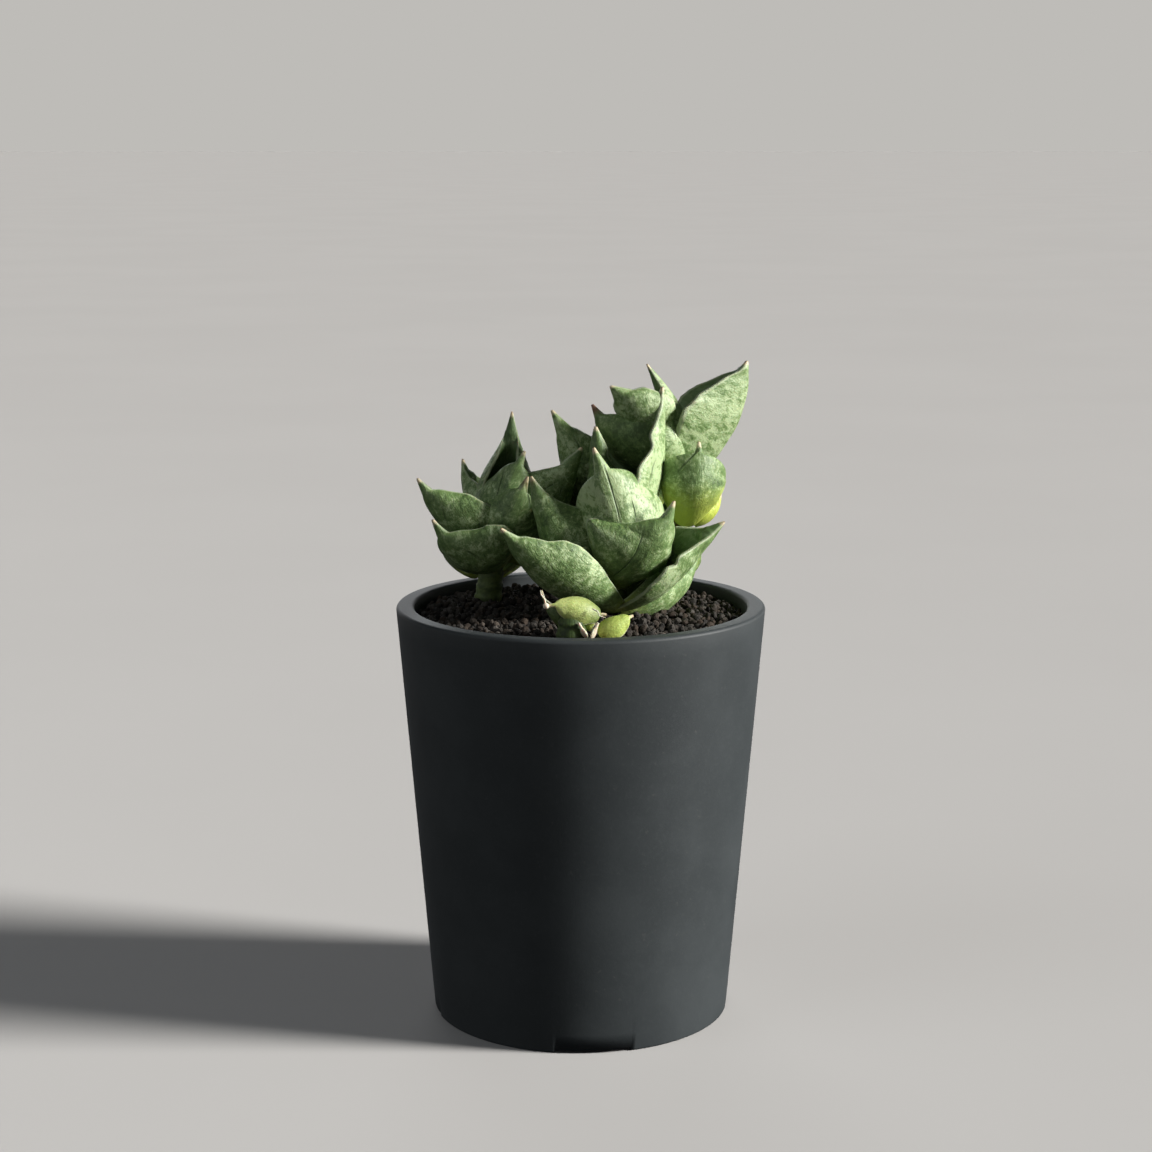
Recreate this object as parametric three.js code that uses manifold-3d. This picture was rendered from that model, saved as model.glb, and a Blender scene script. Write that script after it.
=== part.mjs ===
// A potted tamu tami snake plant: four rosettes of thick boat-shaped leaves and three pups in a plastic pot.
// Millimetres, +Z up. The origin is on the pot's axis, at the level that the pot stands on.
import * as THREE from "three";
import { mergeVertices } from "three/addons/utils/BufferGeometryUtils.js";
import Module from "manifold-3d";

const wasm = await Module();
wasm.setup();

// Driving dimensions
const CLEARANCE = 0.3; // between neighbours that touch
const POT = {
  height: 118.9,
  rimRadius: 52.5,
  mouthRadius: 47.4,
  footRadius: 42.65,
  wall: 3.6, // at the foot
  floor: 4,
  rimRound: 1.1,
  footChamfer: 0.6,
  corner: 1, // bevel where the wall meets the floor inside
  footRing: { width: 5, height: 2 },
  notch: { count: 4, width: 21.8, height: 1, firstAngle: -85.3 },
  drain: { count: 4, radius: 3.5, ring: 20, firstAngle: 45, sides: 12 },
  sides: 32,
};
const SOIL = { belowRim: 3.3, mound: 1.6, grain: 1.1, jitter: 0.35, rings: 10, seed: 7 };
const HOLE = { depth: 24, sides: 10 }; // plain holes that the stems stand in
const STEM_SIDES = 8;
const BEAK_FROM = 0.72; // share of a leaf's length where its hard point starts to bend away

const COLOURS = {
  pot: "#3c4143",
  soil: "#2f2621",
  stem: "#8da06a",
  leaf: "#8fa47d",
  young: "#b4c463",
  dark: "#55683f",
  sheath: "#d9cdb2",
};

// Solids, joins and cuts
function solidFrom(geometry) {
  const bare = geometry.clone();
  bare.deleteAttribute("normal");
  bare.deleteAttribute("uv");
  const merged = mergeVertices(bare, 1e-4);
  const mesh = new wasm.Mesh({
    numProp: 3,
    vertProperties: merged.attributes.position.array,
    triVerts: new Uint32Array(merged.index.array),
  });
  return new wasm.Manifold(mesh);
}

function geometryFrom(solid) {
  const mesh = solid.getMesh();
  const geometry = new THREE.BufferGeometry();
  geometry.setAttribute("position", new THREE.BufferAttribute(mesh.vertProperties, 3));
  geometry.setIndex(new THREE.BufferAttribute(mesh.triVerts, 1));
  geometry.computeVertexNormals();
  return geometry;
}

function largestPiece(solid) {
  return solid.decompose().reduce((best, piece) => (piece.volume() > best.volume() ? piece : best));
}

// The solid with its surface moved outwards: the room that a neighbour keeps to it.
function roomFor(geometry, by) {
  const bigger = geometry.clone();
  bigger.computeVertexNormals();
  const place = bigger.attributes.position;
  const normal = bigger.attributes.normal;
  for (let i = 0; i < place.count; i++) {
    place.setXYZ(
      i,
      place.getX(i) + by * normal.getX(i),
      place.getY(i) + by * normal.getY(i),
      place.getZ(i) + by * normal.getZ(i),
    );
  }
  return solidFrom(bigger).add(solidFrom(geometry));
}

function indexed(points, triangles) {
  const geometry = new THREE.BufferGeometry();
  geometry.setAttribute("position", new THREE.Float32BufferAttribute(points.flatMap((p) => p.toArray()), 3));
  geometry.setIndex(triangles.flat());
  return geometry;
}

function uprightCylinder(radius, bottom, top, x, y, sides) {
  const geometry = new THREE.CylinderGeometry(radius, radius, top - bottom, sides);
  return geometry.rotateX(Math.PI / 2).translate(x, y, (top + bottom) / 2);
}

// A grid of rows, each row one closed ring of points, with both ends closed by a fan round the row's middle.
function loft(rows) {
  const sides = rows[0].length;
  const points = rows.flat();
  const triangles = [];
  for (let k = 0; k + 1 < rows.length; k++) {
    for (let j = 0; j < sides; j++) {
      const [a, b] = [k * sides + j, k * sides + ((j + 1) % sides)];
      triangles.push([a, b, b + sides], [a, b + sides, a + sides]);
    }
  }
  const ends = [
    [0, true],
    [rows.length - 1, false],
  ];
  for (const [row, first] of ends) {
    const middle = rows[row].reduce((sum, p) => sum.add(p), new THREE.Vector3()).divideScalar(sides);
    const hub = points.push(middle) - 1;
    for (let j = 0; j < sides; j++) {
      const [a, b] = [row * sides + j, row * sides + ((j + 1) % sides)];
      triangles.push(first ? [hub, b, a] : [hub, a, b]);
    }
  }
  return indexed(points, triangles);
}

// Pot: one lathe turned round its axis, with notches in the foot ring and holes in the floor.
function makePot() {
  const { height, rimRadius, mouthRadius, rimRound } = POT;
  const { footRadius, footRing, footChamfer, wall, floor, corner } = POT;
  const profile = new THREE.Path();
  const floorTop = footRing.height + floor;
  profile.moveTo(footRadius - footRing.width, 0);
  profile.lineTo(footRadius - footChamfer, 0);
  profile.lineTo(footRadius, footChamfer);
  profile.lineTo(rimRadius, height - rimRound);
  profile.absarc(rimRadius - rimRound, height - rimRound, rimRound, 0, Math.PI / 2, false);
  profile.absarc(mouthRadius + rimRound, height - rimRound, rimRound, Math.PI / 2, Math.PI, false);
  profile.lineTo(footRadius - wall, floorTop + corner);
  profile.lineTo(footRadius - wall - corner, floorTop);
  const outline = profile.getPoints(3);
  const centre = [new THREE.Vector2(0, floorTop), new THREE.Vector2(0, footRing.height)];
  const inner = new THREE.Vector2(footRadius - footRing.width, footRing.height);
  const lathe = new THREE.LatheGeometry([...outline, ...centre, inner, outline[0]], POT.sides);
  let pot = solidFrom(lathe.rotateX(Math.PI / 2));

  const { notch, drain } = POT;
  for (let i = 0; i < notch.count; i++) {
    const angle = THREE.MathUtils.degToRad(notch.firstAngle + (360 / notch.count) * i);
    const cutter = new THREE.BoxGeometry(4 * footRing.width, notch.width, 2 * notch.height);
    cutter.translate(footRadius, 0, 0).rotateZ(angle);
    pot = pot.subtract(solidFrom(cutter));
  }
  for (let i = 0; i < drain.count; i++) {
    const angle = THREE.MathUtils.degToRad(drain.firstAngle + (360 / drain.count) * i);
    const [x, y] = [drain.ring * Math.cos(angle), drain.ring * Math.sin(angle)];
    pot = pot.subtract(solidFrom(uprightCylinder(drain.radius, -1, floorTop + 1, x, y, drain.sides)));
  }
  return pot;
}

// Soil: a plug that fills the pot, its top a mound of coarse grains raised by a seeded rule.
const soilTop = POT.height - SOIL.belowRim;
function potInside(z) {
  const low = POT.footRing.height + POT.floor + POT.corner;
  const share = (z - low) / (POT.height - POT.rimRound - low);
  return THREE.MathUtils.lerp(POT.footRadius - POT.wall, POT.mouthRadius, share);
}

function soilHeight(radius) {
  const share = radius / potInside(soilTop);
  return soilTop + SOIL.mound * (1 - share * share);
}

function makeSoil(stems) {
  const random = seededRandom(SOIL.seed);
  const bottom = POT.footRing.height + POT.floor + CLEARANCE;
  const edge = potInside(soilTop) - CLEARANCE;
  const points = [new THREE.Vector3(0, 0, soilHeight(0))];
  const triangles = [];
  const start = (ring) => (ring === 0 ? 0 : 1 + 3 * ring * (ring - 1));
  for (let ring = 1; ring <= SOIL.rings; ring++) {
    const radius = (edge * ring) / SOIL.rings;
    const rim = ring === SOIL.rings;
    for (let i = 0; i < 6 * ring; i++) {
      const jitter = rim ? 0 : SOIL.jitter * (random() - 0.5);
      const angle = ((i + jitter) / (6 * ring)) * 2 * Math.PI;
      const grain = rim ? 0 : SOIL.grain * (random() - 0.5);
      const height = soilHeight(radius) + grain;
      points.push(new THREE.Vector3(radius * Math.cos(angle), radius * Math.sin(angle), height));
    }
    const inner = Math.max(6 * (ring - 1), 1);
    for (let side = 0; side < 6; side++) {
      for (let i = 0; i < ring; i++) {
        const a = start(ring) + side * ring + i;
        const b = start(ring) + ((side * ring + i + 1) % (6 * ring));
        const c = start(ring - 1) + ((side * (ring - 1) + i) % inner);
        triangles.push([a, b, c]);
        if (i + 1 < ring) triangles.push([b, start(ring - 1) + ((side * (ring - 1) + i + 1) % inner), c]);
      }
    }
  }
  const rimCount = 6 * SOIL.rings;
  const top = start(SOIL.rings);
  const floorRadius = potInside(bottom + POT.corner) - POT.corner - CLEARANCE;
  const floorStart = points.length;
  for (let i = 0; i < rimCount; i++) {
    const angle = (i / rimCount) * 2 * Math.PI;
    points.push(new THREE.Vector3(floorRadius * Math.cos(angle), floorRadius * Math.sin(angle), bottom));
  }
  const hub = points.push(new THREE.Vector3(0, 0, bottom)) - 1;
  for (let i = 0; i < rimCount; i++) {
    const j = (i + 1) % rimCount;
    triangles.push([top + i, floorStart + j, top + j], [top + i, floorStart + i, floorStart + j]);
    triangles.push([floorStart + i, hub, floorStart + j]);
  }
  let soil = solidFrom(indexed(points, triangles));
  for (const { foot, radius } of Object.values(stems)) {
    const [low, high] = [soilTop - HOLE.depth, soilTop + HOLE.depth];
    const bore = uprightCylinder(radius + CLEARANCE, low, high, foot[0], foot[1], HOLE.sides);
    soil = soil.subtract(solidFrom(bore));
  }
  return largestPiece(soil);
}

function seededRandom(seed) {
  let state = seed;
  return () => {
    state = (state * 1664525 + 1013904223) % 4294967296;
    return state / 4294967296;
  };
}

// Stems: each stands straight in its hole, then leans to the middle of its rosette.
const STEMS = {
  stem_front: { foot: [10, -3.5], head: [10, -4, 124], radius: 4.2 },
  stem_left: { foot: [-27, 17], head: [-25, 16.5, 134], radius: 4 },
  stem_right: { foot: [24, 11], head: [29, 14, 153], radius: 4.2 },
  stem_middle: { foot: [3, 24], head: [4, 24.5, 139], radius: 4.2 },
  stem_pup_left: { foot: [-2.4, -38.5], head: [-2.5, -38.5, 123.6], radius: 4.3 },
  stem_pup_right: { foot: [6.5, -37], head: [6.8, -37, 118.5], radius: 2.2 },
};

function makeStem({ foot, head, radius }) {
  const end = new THREE.Vector3(...head);
  const base = new THREE.Vector3(foot[0], foot[1], soilTop - HOLE.depth + CLEARANCE);
  const collar = new THREE.Vector3(foot[0], foot[1], soilHeight(Math.hypot(...foot)) + SOIL.grain);
  const shoulder = collar.clone().lerp(end, 0.6);
  const rings = [
    [base, 0.55],
    [base.clone().lerp(collar, 0.12), 0.9],
    [collar, 1],
    [shoulder, 0.85],
    [end.clone().lerp(shoulder, 0.25), 0.65],
    [end, 0.4],
  ];
  const rows = rings.map(([middle, share]) =>
    Array.from({ length: STEM_SIDES }, (_, j) => {
      const angle = (j / STEM_SIDES) * 2 * Math.PI;
      const spoke = new THREE.Vector3(Math.cos(angle), Math.sin(angle), 0);
      return spoke.multiplyScalar(radius * share).add(middle);
    }),
  );
  return loft(rows);
}

// Leaves. The keel runs from root to tip and bows outwards; the blade is cupped towards its channel.
// faces: the way the back of the keel looks      width: of the blade laid flat, at its widest
// bow: how far the keel stands out, at a third and at two thirds of its length
// sway: the same bow, sideways                   cup: half the angle that the blade wraps round, in degrees
// fold: how far it is folded like a V             peak: where it is widest, from root 0 to tip 1
// blunt: under 1 is rounder towards the tip      beak: how the hard point bends away at the end
const LEAF = {
  bow: [4, 4],
  sway: 0,
  cup: 80,
  fold: 0,
  base: 0.5, // width at the root, as a share of the widest
  peak: 0.45,
  blunt: 0.95,
  beak: [0, 0, 2],
  thick: 2.6, // at the keel
  edge: 0.9, // at the margins
  point: 4.2, // length of the hard point
  horn: 3.3, // its radius where it starts
  keel: 0.25, // how sharply the back is ridged towards the tip
  rows: 7,
  columns: 6,
  colour: "leaf",
};

const clamp01 = (x) => Math.min(Math.max(x, 0), 1);
const smooth = (from, to, x) => THREE.MathUtils.smoothstep(x, from, to);

function makeLeaf(given) {
  const leaf = { ...LEAF, ...given };
  const root = new THREE.Vector3(...leaf.root);
  const beak = new THREE.Vector3(...leaf.beak);
  const end = new THREE.Vector3(...leaf.tip).sub(beak);
  const chord = end.clone().sub(root);
  const length = chord.length();
  const along = chord.clone().normalize();
  const faces = new THREE.Vector3(...leaf.faces);
  const out = faces.addScaledVector(along, -faces.dot(along)).normalize();
  const across = along.clone().cross(out);
  const control = (share, bow) => {
    const onChord = root.clone().addScaledVector(chord, share);
    return onChord.addScaledVector(out, (bow * 4) / 3).addScaledVector(across, leaf.sway);
  };
  const keel = new THREE.CubicBezierCurve3(root, control(0.33, leaf.bow[0]), control(0.7, leaf.bow[1]), end);
  const bend = (t) => clamp01((t - BEAK_FROM) / (1 - BEAK_FROM)) ** 2;
  const keelAt = (t) => keel.getPoint(t).addScaledVector(beak, bend(t));
  const bladeEnd = 1 - (0.8 * leaf.point) / length;

  const rows = [];
  for (let k = 0; k <= leaf.rows; k++) {
    const u = k / leaf.rows;
    const t = Math.min(u * (1 + 0.5 * (1 - u)), 1); // closer rows towards the tip
    const middle = keelAt(t);
    const tangent = keelAt(Math.min(t + 1e-3, 1)).sub(keelAt(Math.max(t - 1e-3, 0))).normalize();
    const side = across.clone().addScaledVector(tangent, -across.dot(tangent)).normalize();
    const back = side.clone().cross(tangent);

    const x = clamp01(t / bladeEnd);
    const rise = leaf.base + (1 - leaf.base) * Math.sin((clamp01(x / leaf.peak) * Math.PI) / 2);
    const fall = x > leaf.peak ? Math.cos((clamp01((x - leaf.peak) / (1 - leaf.peak)) * Math.PI) / 2) : 1;
    const blade = (leaf.width / 2) * rise * Math.max(fall, 0) ** leaf.blunt;
    const points = Math.max(((1 - t) * length) / leaf.point, 0); // back from the tip, in lengths of the point
    const cone = (0.5 + (leaf.horn - 0.5) * clamp01(points)) * clamp01(2.1 - points);
    const half = Math.cbrt(blade ** 3 + cone ** 3);
    const roundness = 1 - smooth(0.6, 2.4, points); // the channel closes into the point

    const wrap = THREE.MathUtils.degToRad(leaf.cup) * (0.85 + 0.15 * smooth(0, 0.5, t));
    const radius = half / wrap;
    const horn = half * Math.min(1, 1.1 / wrap); // the point's own radius, no wider than the rolled blade
    const ridge = leaf.fold + leaf.keel * smooth(0.3, 1, t) * (1 - roundness);
    const thick = Math.min(leaf.thick * (0.75 + 0.25 * smooth(0, 0.3, t)), 0.85 * radius);
    const outer = [];
    const inner = [];
    for (let j = 0; j <= leaf.columns; j++) {
      const s = (2 * j) / leaf.columns - 1;
      const thin = thick * (1 - (1 - Math.min(leaf.edge / thick, 1)) * Math.abs(s) ** 2.2);
      const fold = ridge * half * (Math.hypot(s, 0.12) - 0.12);
      const [sin, cos] = [Math.sin(s * wrap), Math.cos(s * wrap)];
      const [sinRound, cosRound] = [Math.sin((s * Math.PI) / 2), Math.cos((s * Math.PI) / 2)];
      const mix = THREE.MathUtils.lerp;
      const place = (w, d) => middle.clone().addScaledVector(side, w).addScaledVector(back, -d);
      outer.push(
        place(
          mix(radius * sin, horn * sinRound, roundness),
          mix(radius * (1 - cos) + fold, horn * (1 - cosRound), roundness),
        ),
      );
      inner.push(
        place(
          mix((radius - thin) * sin, horn * sinRound, roundness),
          mix(radius - (radius - thin) * cos + fold, horn * (1 + 0.6 * cosRound) + 0.02, roundness),
        ),
      );
    }
    rows.push([...outer, ...inner.reverse()]);
  }
  return leafSkin(rows, leaf.columns);
}

// The rows' points joined. Both faces are split along the same diagonals, so that a thin blade never
// crosses itself.
function leafSkin(rows, columns) {
  const ring = 2 * columns + 2;
  const triangles = [];
  const quad = (a, b, c, d, turned) => {
    const [first, second] = turned ? [[a, b, d], [b, c, d]] : [[a, b, c], [a, c, d]];
    triangles.push(first, second);
  };
  for (let k = 0; k + 1 < rows.length; k++) {
    for (let j = 0; j < ring; j++) {
      const next = (j + 1) % ring;
      const [a, b] = [k * ring + j, k * ring + next];
      quad(a, b, b + ring, a + ring, j > columns);
    }
  }
  const last = (rows.length - 1) * ring;
  for (let j = 0; j < columns; j++) {
    const [near, nextNear, far, nextFar] = [j, j + 1, ring - 1 - j, ring - 2 - j];
    quad(near, far, nextFar, nextNear, false);
    quad(last + near, last + nextNear, last + nextFar, last + far, false);
  }
  return indexed(rows.flat(), triangles);
}

// Root and tip are places in the pot's frame. Where two bases meet, the leaf listed first keeps its shape.
const LEAVES = {
  pup_left_1: {
    root: [5.4, -37.5, 123.6], tip: [-9.2, -40.5, 126.2], faces: [-0.05, -0.75, 0.65], width: 12,
    bow: [2.4, 2.4], sway: 0.4, blunt: 0.4, base: 0.6, beak: [-1, 0, 0.1], point: 2, horn: 0.9, thick: 2.4,
    colour: "young",
  },
  pup_left_2: {
    root: [-1, -34.5, 120], tip: [7, -37.6, 123.2], faces: [0.2, -0.7, 0.7], width: 9.5, bow: [2, 2],
    blunt: 0.6, beak: [0.8, 0, -0.2], point: 1.6, horn: 0.7, colour: "young", rows: 5,
  },
  pup_right_1: {
    root: [4.8, -39.6, 118], tip: [14.2, -37, 122.8], faces: [-0.2, -0.9, 0.5], width: 9, bow: [1.6, 1.3],
    blunt: 0.35, base: 0.7, beak: [0.3, 0, 0], point: 1.4, horn: 0.7, colour: "young",
  },
  pup_dark: {
    root: [-4.6, -36, 118.4], tip: [-11, -34.5, 129], faces: [-0.8, -0.5, 0], width: 7, bow: [1.5, 1.2],
    beak: [-0.4, 0, 0.6], point: 1.8, horn: 0.6, colour: "dark", rows: 5,
  },
  leaf_front_5: {
    root: [10.5, -10, 118], tip: [-22, -26, 144.5], faces: [-0.35, -0.75, -0.6], width: 29, bow: [5, 5.5],
    cup: 80, base: 0.3, peak: 0.55, blunt: 0.55, beak: [-1.5, 0, 2.5], point: 4, horn: 3.2,
  },
  leaf_front_2: {
    root: [9, -8, 125], tip: [26, -18, 151], faces: [0.6, -0.8, -0.1], width: 42, bow: [6, 7],
    sway: -1.5, cup: 76, fold: 0.1, base: 0.3, peak: 0.45, blunt: 0.6, beak: [0.5, 0, 3.5],
    point: 3.4, horn: 3.1, rows: 9,
  },
  leaf_front_4: {
    root: [11, -10, 116.5], tip: [34, 8, 131.5], faces: [0.5, -0.5, -0.7], width: 30, bow: [7, 5],
    cup: 85, base: 0.4,
  },
  leaf_front_3: {
    root: [9.5, -6, 118], tip: [40.5, -8, 143.5], faces: [0.45, 0.4, -0.8], width: 34, bow: [5, 2.5],
    cup: 84, base: 0.4, blunt: 0.75, beak: [1, 0, 1.5], point: 3.4, horn: 2.8,
  },
  leaf_front_6: {
    root: [4, -7, 121], tip: [-14, -12, 157], faces: [-0.45, -0.85, -0.2], width: 27, bow: [5, 5],
    sway: 1.5, cup: 80, fold: 0.1, base: 0.3, peak: 0.5, blunt: 0.65, beak: [0, 0, 3],
  },
  leaf_front_1: {
    root: [9.5, -4, 122.5], tip: [3.5, -15, 165.5], faces: [0.05, -1, 0], width: 37, bow: [8, 8],
    sway: 5.5, cup: 80, base: 0.4, peak: 0.58, blunt: 0.34, beak: [-1, 0, 5], point: 4.6, horn: 3.7,
    rows: 9,
  },
  leaf_front_7: {
    root: [15.5, 9, 130.6], tip: [23.5, 6, 180.1], faces: [0.92, 0.38, -0.1], width: 40, bow: [3, 4],
    cup: 52, fold: 0.3, base: 0.4, blunt: 0.9, beak: [0, 0, 3], point: 3, horn: 1.9, rows: 9,
  },
  leaf_front_8: {
    root: [9, 2, 127], tip: [4, 4, 169], faces: [-0.45, -0.9, 0.1], width: 22, bow: [4, 3],
    cup: 60, fold: 0.35, point: 5, horn: 2.9,
  },
  leaf_front_9: {
    root: [12, -1, 121], tip: [27, 12, 149], faces: [0.6, 0.8, -0.2], width: 20, rows: 6,
  },
  leaf_right_7: {
    root: [30.5, 8, 139.5], tip: [33.5, 2, 165], faces: [0.2, -1, 0], width: 30, bow: [6, 8.4],
    sway: -0.3, cup: 78, base: 0.35, peak: 0.75, blunt: 0.15, beak: [0.3, 0, 1.5], point: 2.4, horn: 2,
    rows: 11,
  },
  leaf_right_1: {
    root: [30, 16, 149.5], tip: [48, 16, 186.5], faces: [1, 0.05, -0.4], width: 23, bow: [4.6, 5.8],
    cup: 30, fold: 1.3, peak: 0.45, blunt: 0.6, beak: [0, 0, 0.8], point: 1.6, horn: 1.8, rows: 9,
  },
  leaf_right_8: {
    root: [33, 12, 139], tip: [40.7, 13.5, 149], faces: [0.8, -0.5, -0.3], width: 13, bow: [2, 2],
  },
  leaf_right_2: {
    root: [25, 18, 162], tip: [8.2, 4, 180.4], faces: [-0.3, -0.7, -0.6], width: 26.5, bow: [6, 6],
    sway: 2, base: 0.4, peak: 0.55, blunt: 0.42, beak: [-0.6, 0, -1], point: 5, horn: 5.2, rows: 9,
  },
  leaf_right_3: {
    root: [28.5, 14, 151], tip: [19, 13, 186], faces: [0.93, 0.38, 0.1], width: 34, bow: [6, 7],
    cup: 112, fold: 0.1, base: 0.4, peak: 0.5, beak: [-1, 0, 3], point: 4.5, horn: 3.8,
  },
  leaf_right_5: {
    root: [21.5, 16, 152], tip: [3, 10, 174.5], faces: [-0.6, -0.6, -0.5], width: 31, bow: [5, 5],
    sway: 4, cup: 75, blunt: 0.55, point: 3, horn: 2.4,
  },
  leaf_right_9: {
    root: [32, 20, 142], tip: [35, 38, 161], faces: [0.3, 0.9, -0.3], width: 22, rows: 6,
  },
  leaf_right_10: {
    root: [24, 20, 142], tip: [14, 38, 162], faces: [-0.4, 0.9, -0.3], width: 22, rows: 6,
  },
  leaf_right_4: {
    root: [26, 15, 123], tip: [34, 30, 134], faces: [0.6, 0.5, -0.6], width: 24, bow: [5, 4], rows: 6,
  },
  leaf_right_6: {
    root: [23, 13, 128], tip: [24, 34, 149], faces: [0.1, 0.9, -0.5], width: 22, bow: [5, 4], rows: 6,
  },
  leaf_left_6: {
    root: [-23, 12, 127], tip: [-42, -4, 143.5], faces: [-0.35, -0.75, -0.65], width: 35, bow: [7, 7],
    sway: 3.5, base: 0.4, blunt: 0.48, beak: [0, 0, 3], point: 3.6, horn: 3,
  },
  leaf_left_5: {
    root: [-24, 16, 128], tip: [-47, 8, 153.5], faces: [-0.5, -0.65, -0.6], width: 30, bow: [6, 5],
    sway: 4, base: 0.4, blunt: 0.5, beak: [-0.5, 0, 3], point: 3.6, horn: 2.9,
  },
  leaf_left_3: {
    root: [-22, 12, 128.5], tip: [-15, 2, 155], faces: [-0.1, -1, -0.1], width: 27, bow: [6, 6],
    sway: -3, blunt: 0.42, beak: [0, 0, 2.5], point: 3, horn: 2.3,
  },
  leaf_left_2: {
    root: [-24.5, 14, 129], tip: [-16, 8, 161.5], faces: [-0.3, -0.95, -0.1], width: 30, bow: [6, 7],
    sway: -2, cup: 85, blunt: 0.45, beak: [0.5, 0, 2.5], point: 3, horn: 2.3,
  },
  leaf_left_7: {
    root: [-17, 17, 126.5], tip: [0.5, 8, 162.5], faces: [0.5, -0.75, -0.5], width: 29, bow: [4, 3],
    peak: 0.6, base: 0.35, sway: -3,
  },
  leaf_left_4: {
    root: [-27, 22, 130], tip: [-35, 28, 156.5], faces: [-0.9, 0.3, 0], width: 24, bow: [2, 2.5],
    cup: 88, base: 0.4, blunt: 0.55, point: 2.6, horn: 2.2,
  },
  leaf_left_1: {
    root: [-22, 22, 127], tip: [-20, 24, 171], faces: [0.15, 1, 0], width: 42, bow: [3, 4],
    cup: 135, peak: 0.42, blunt: 0.75, beak: [0, 0, 3], point: 4, horn: 3.7,
  },
  leaf_left_8: {
    root: [-25, 21, 122], tip: [-12, 37, 143], faces: [0.5, 0.8, -0.4], width: 20, rows: 6,
  },
  leaf_left_9: {
    root: [-31, 21, 122], tip: [-42, 31, 140], faces: [-0.6, 0.6, -0.5], width: 18, rows: 6,
  },
  leaf_middle_1: {
    root: [6, 24, 136], tip: [-8.5, 18, 172], faces: [-0.25, -0.95, 0], width: 29, bow: [6, 7],
    sway: 5, base: 0.3, blunt: 0.6, beak: [-1, 0, 3], point: 4.8, horn: 3.7,
  },
  leaf_middle_2: {
    root: [0, 25, 121], tip: [-14, 40, 147], faces: [-0.6, 0.7, -0.4], width: 24, bow: [5, 5], rows: 6,
  },
  leaf_middle_4: {
    root: [6, 25, 122], tip: [17, 42, 146], faces: [0.5, 0.8, -0.4], width: 22, bow: [5, 5], rows: 6,
  },
  leaf_middle_3: {
    root: [4, 27, 121], tip: [2, 46, 146], faces: [0, 1, -0.4], width: 24, bow: [5, 5], rows: 6,
  },
  leaf_middle_5: {
    root: [-2, 24, 131], tip: [-3, 29, 157], faces: [-0.1, 0.9, 0.1], width: 22, bow: [3, 3], cup: 95,
    rows: 6,
  },
};

// Sheaths: the dry papery scales that the pups broke through.
const SHEATHS = {
  sheath_left: {
    root: [1.8, -41.4, 116.8], tip: [-0.9, -42.6, 121.4], faces: [-0.9, -0.45, 0], width: 3.2, bow: [0.5, 0.4],
    cup: 40, thick: 0.8, edge: 0.7, point: 1.2, horn: 0.5, beak: [-0.4, 0, 0], colour: "sheath", rows: 4,
  },
  sheath_right: {
    root: [2.9, -41.8, 116.8], tip: [5, -42, 121.6], faces: [0.9, -0.45, 0], width: 3.2, bow: [0.5, 0.4],
    cup: 50, thick: 0.8, edge: 0.7, point: 1.2, horn: 0.5, beak: [0.3, 0, 0], colour: "sheath", rows: 4,
  },
};

// Assembly
const group = new THREE.Group();
const finish = (color, roughness) => new THREE.MeshStandardMaterial({ color, roughness, metalness: 0 });
const materials = {
  pot: finish(COLOURS.pot, 0.55),
  soil: finish(COLOURS.soil, 0.95),
  stem: finish(COLOURS.stem, 0.6),
  leaf: finish(COLOURS.leaf, 0.5),
  young: finish(COLOURS.young, 0.45),
  dark: finish(COLOURS.dark, 0.55),
  sheath: finish(COLOURS.sheath, 0.8),
};

function add(name, solid, material) {
  const mesh = new THREE.Mesh(geometryFrom(solid), materials[material]);
  mesh.name = name;
  group.add(mesh);
}

add("pot", makePot(), "pot");
add("soil", makeSoil(STEMS), "soil");

const soilRoom = solidFrom(
  uprightCylinder(potInside(soilTop), 100, soilTop + SOIL.mound + SOIL.grain / 2 + CLEARANCE, 0, 0, 24),
);
const taken = [];
for (const [name, stem] of Object.entries(STEMS)) {
  const geometry = makeStem(stem);
  add(name, solidFrom(geometry), "stem");
  taken.push(roomFor(geometry, CLEARANCE));
}
for (const [name, leaf] of Object.entries({ ...SHEATHS, ...LEAVES })) {
  const geometry = makeLeaf(leaf);
  const whole = solidFrom(geometry).subtract(soilRoom);
  const fitted = taken.reduce((rest, room) => rest.subtract(room), whole);
  add(name, largestPiece(fitted), leaf.colour ?? LEAF.colour);
  taken.push(roomFor(geometry, CLEARANCE));
}

export default group;
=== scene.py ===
# %% [markdown]
# # A potted tamu tami snake plant, dressed for its picture
# This lesson gives a small succulent its looks in Blender. The plant is four rosettes of thick,
# boat-shaped leaves and three young pups, in dark granular soil, in a matt charcoal pot.
#
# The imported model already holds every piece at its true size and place. It is loaded first, as a
# fixed frame, and each leaf, stem, pot wall and grain made below is fitted to it. All sizes are
# written in millimetres, as a gardener would measure them, and `MM` turns them into metres.

# %% Load the frame
import math

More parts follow.
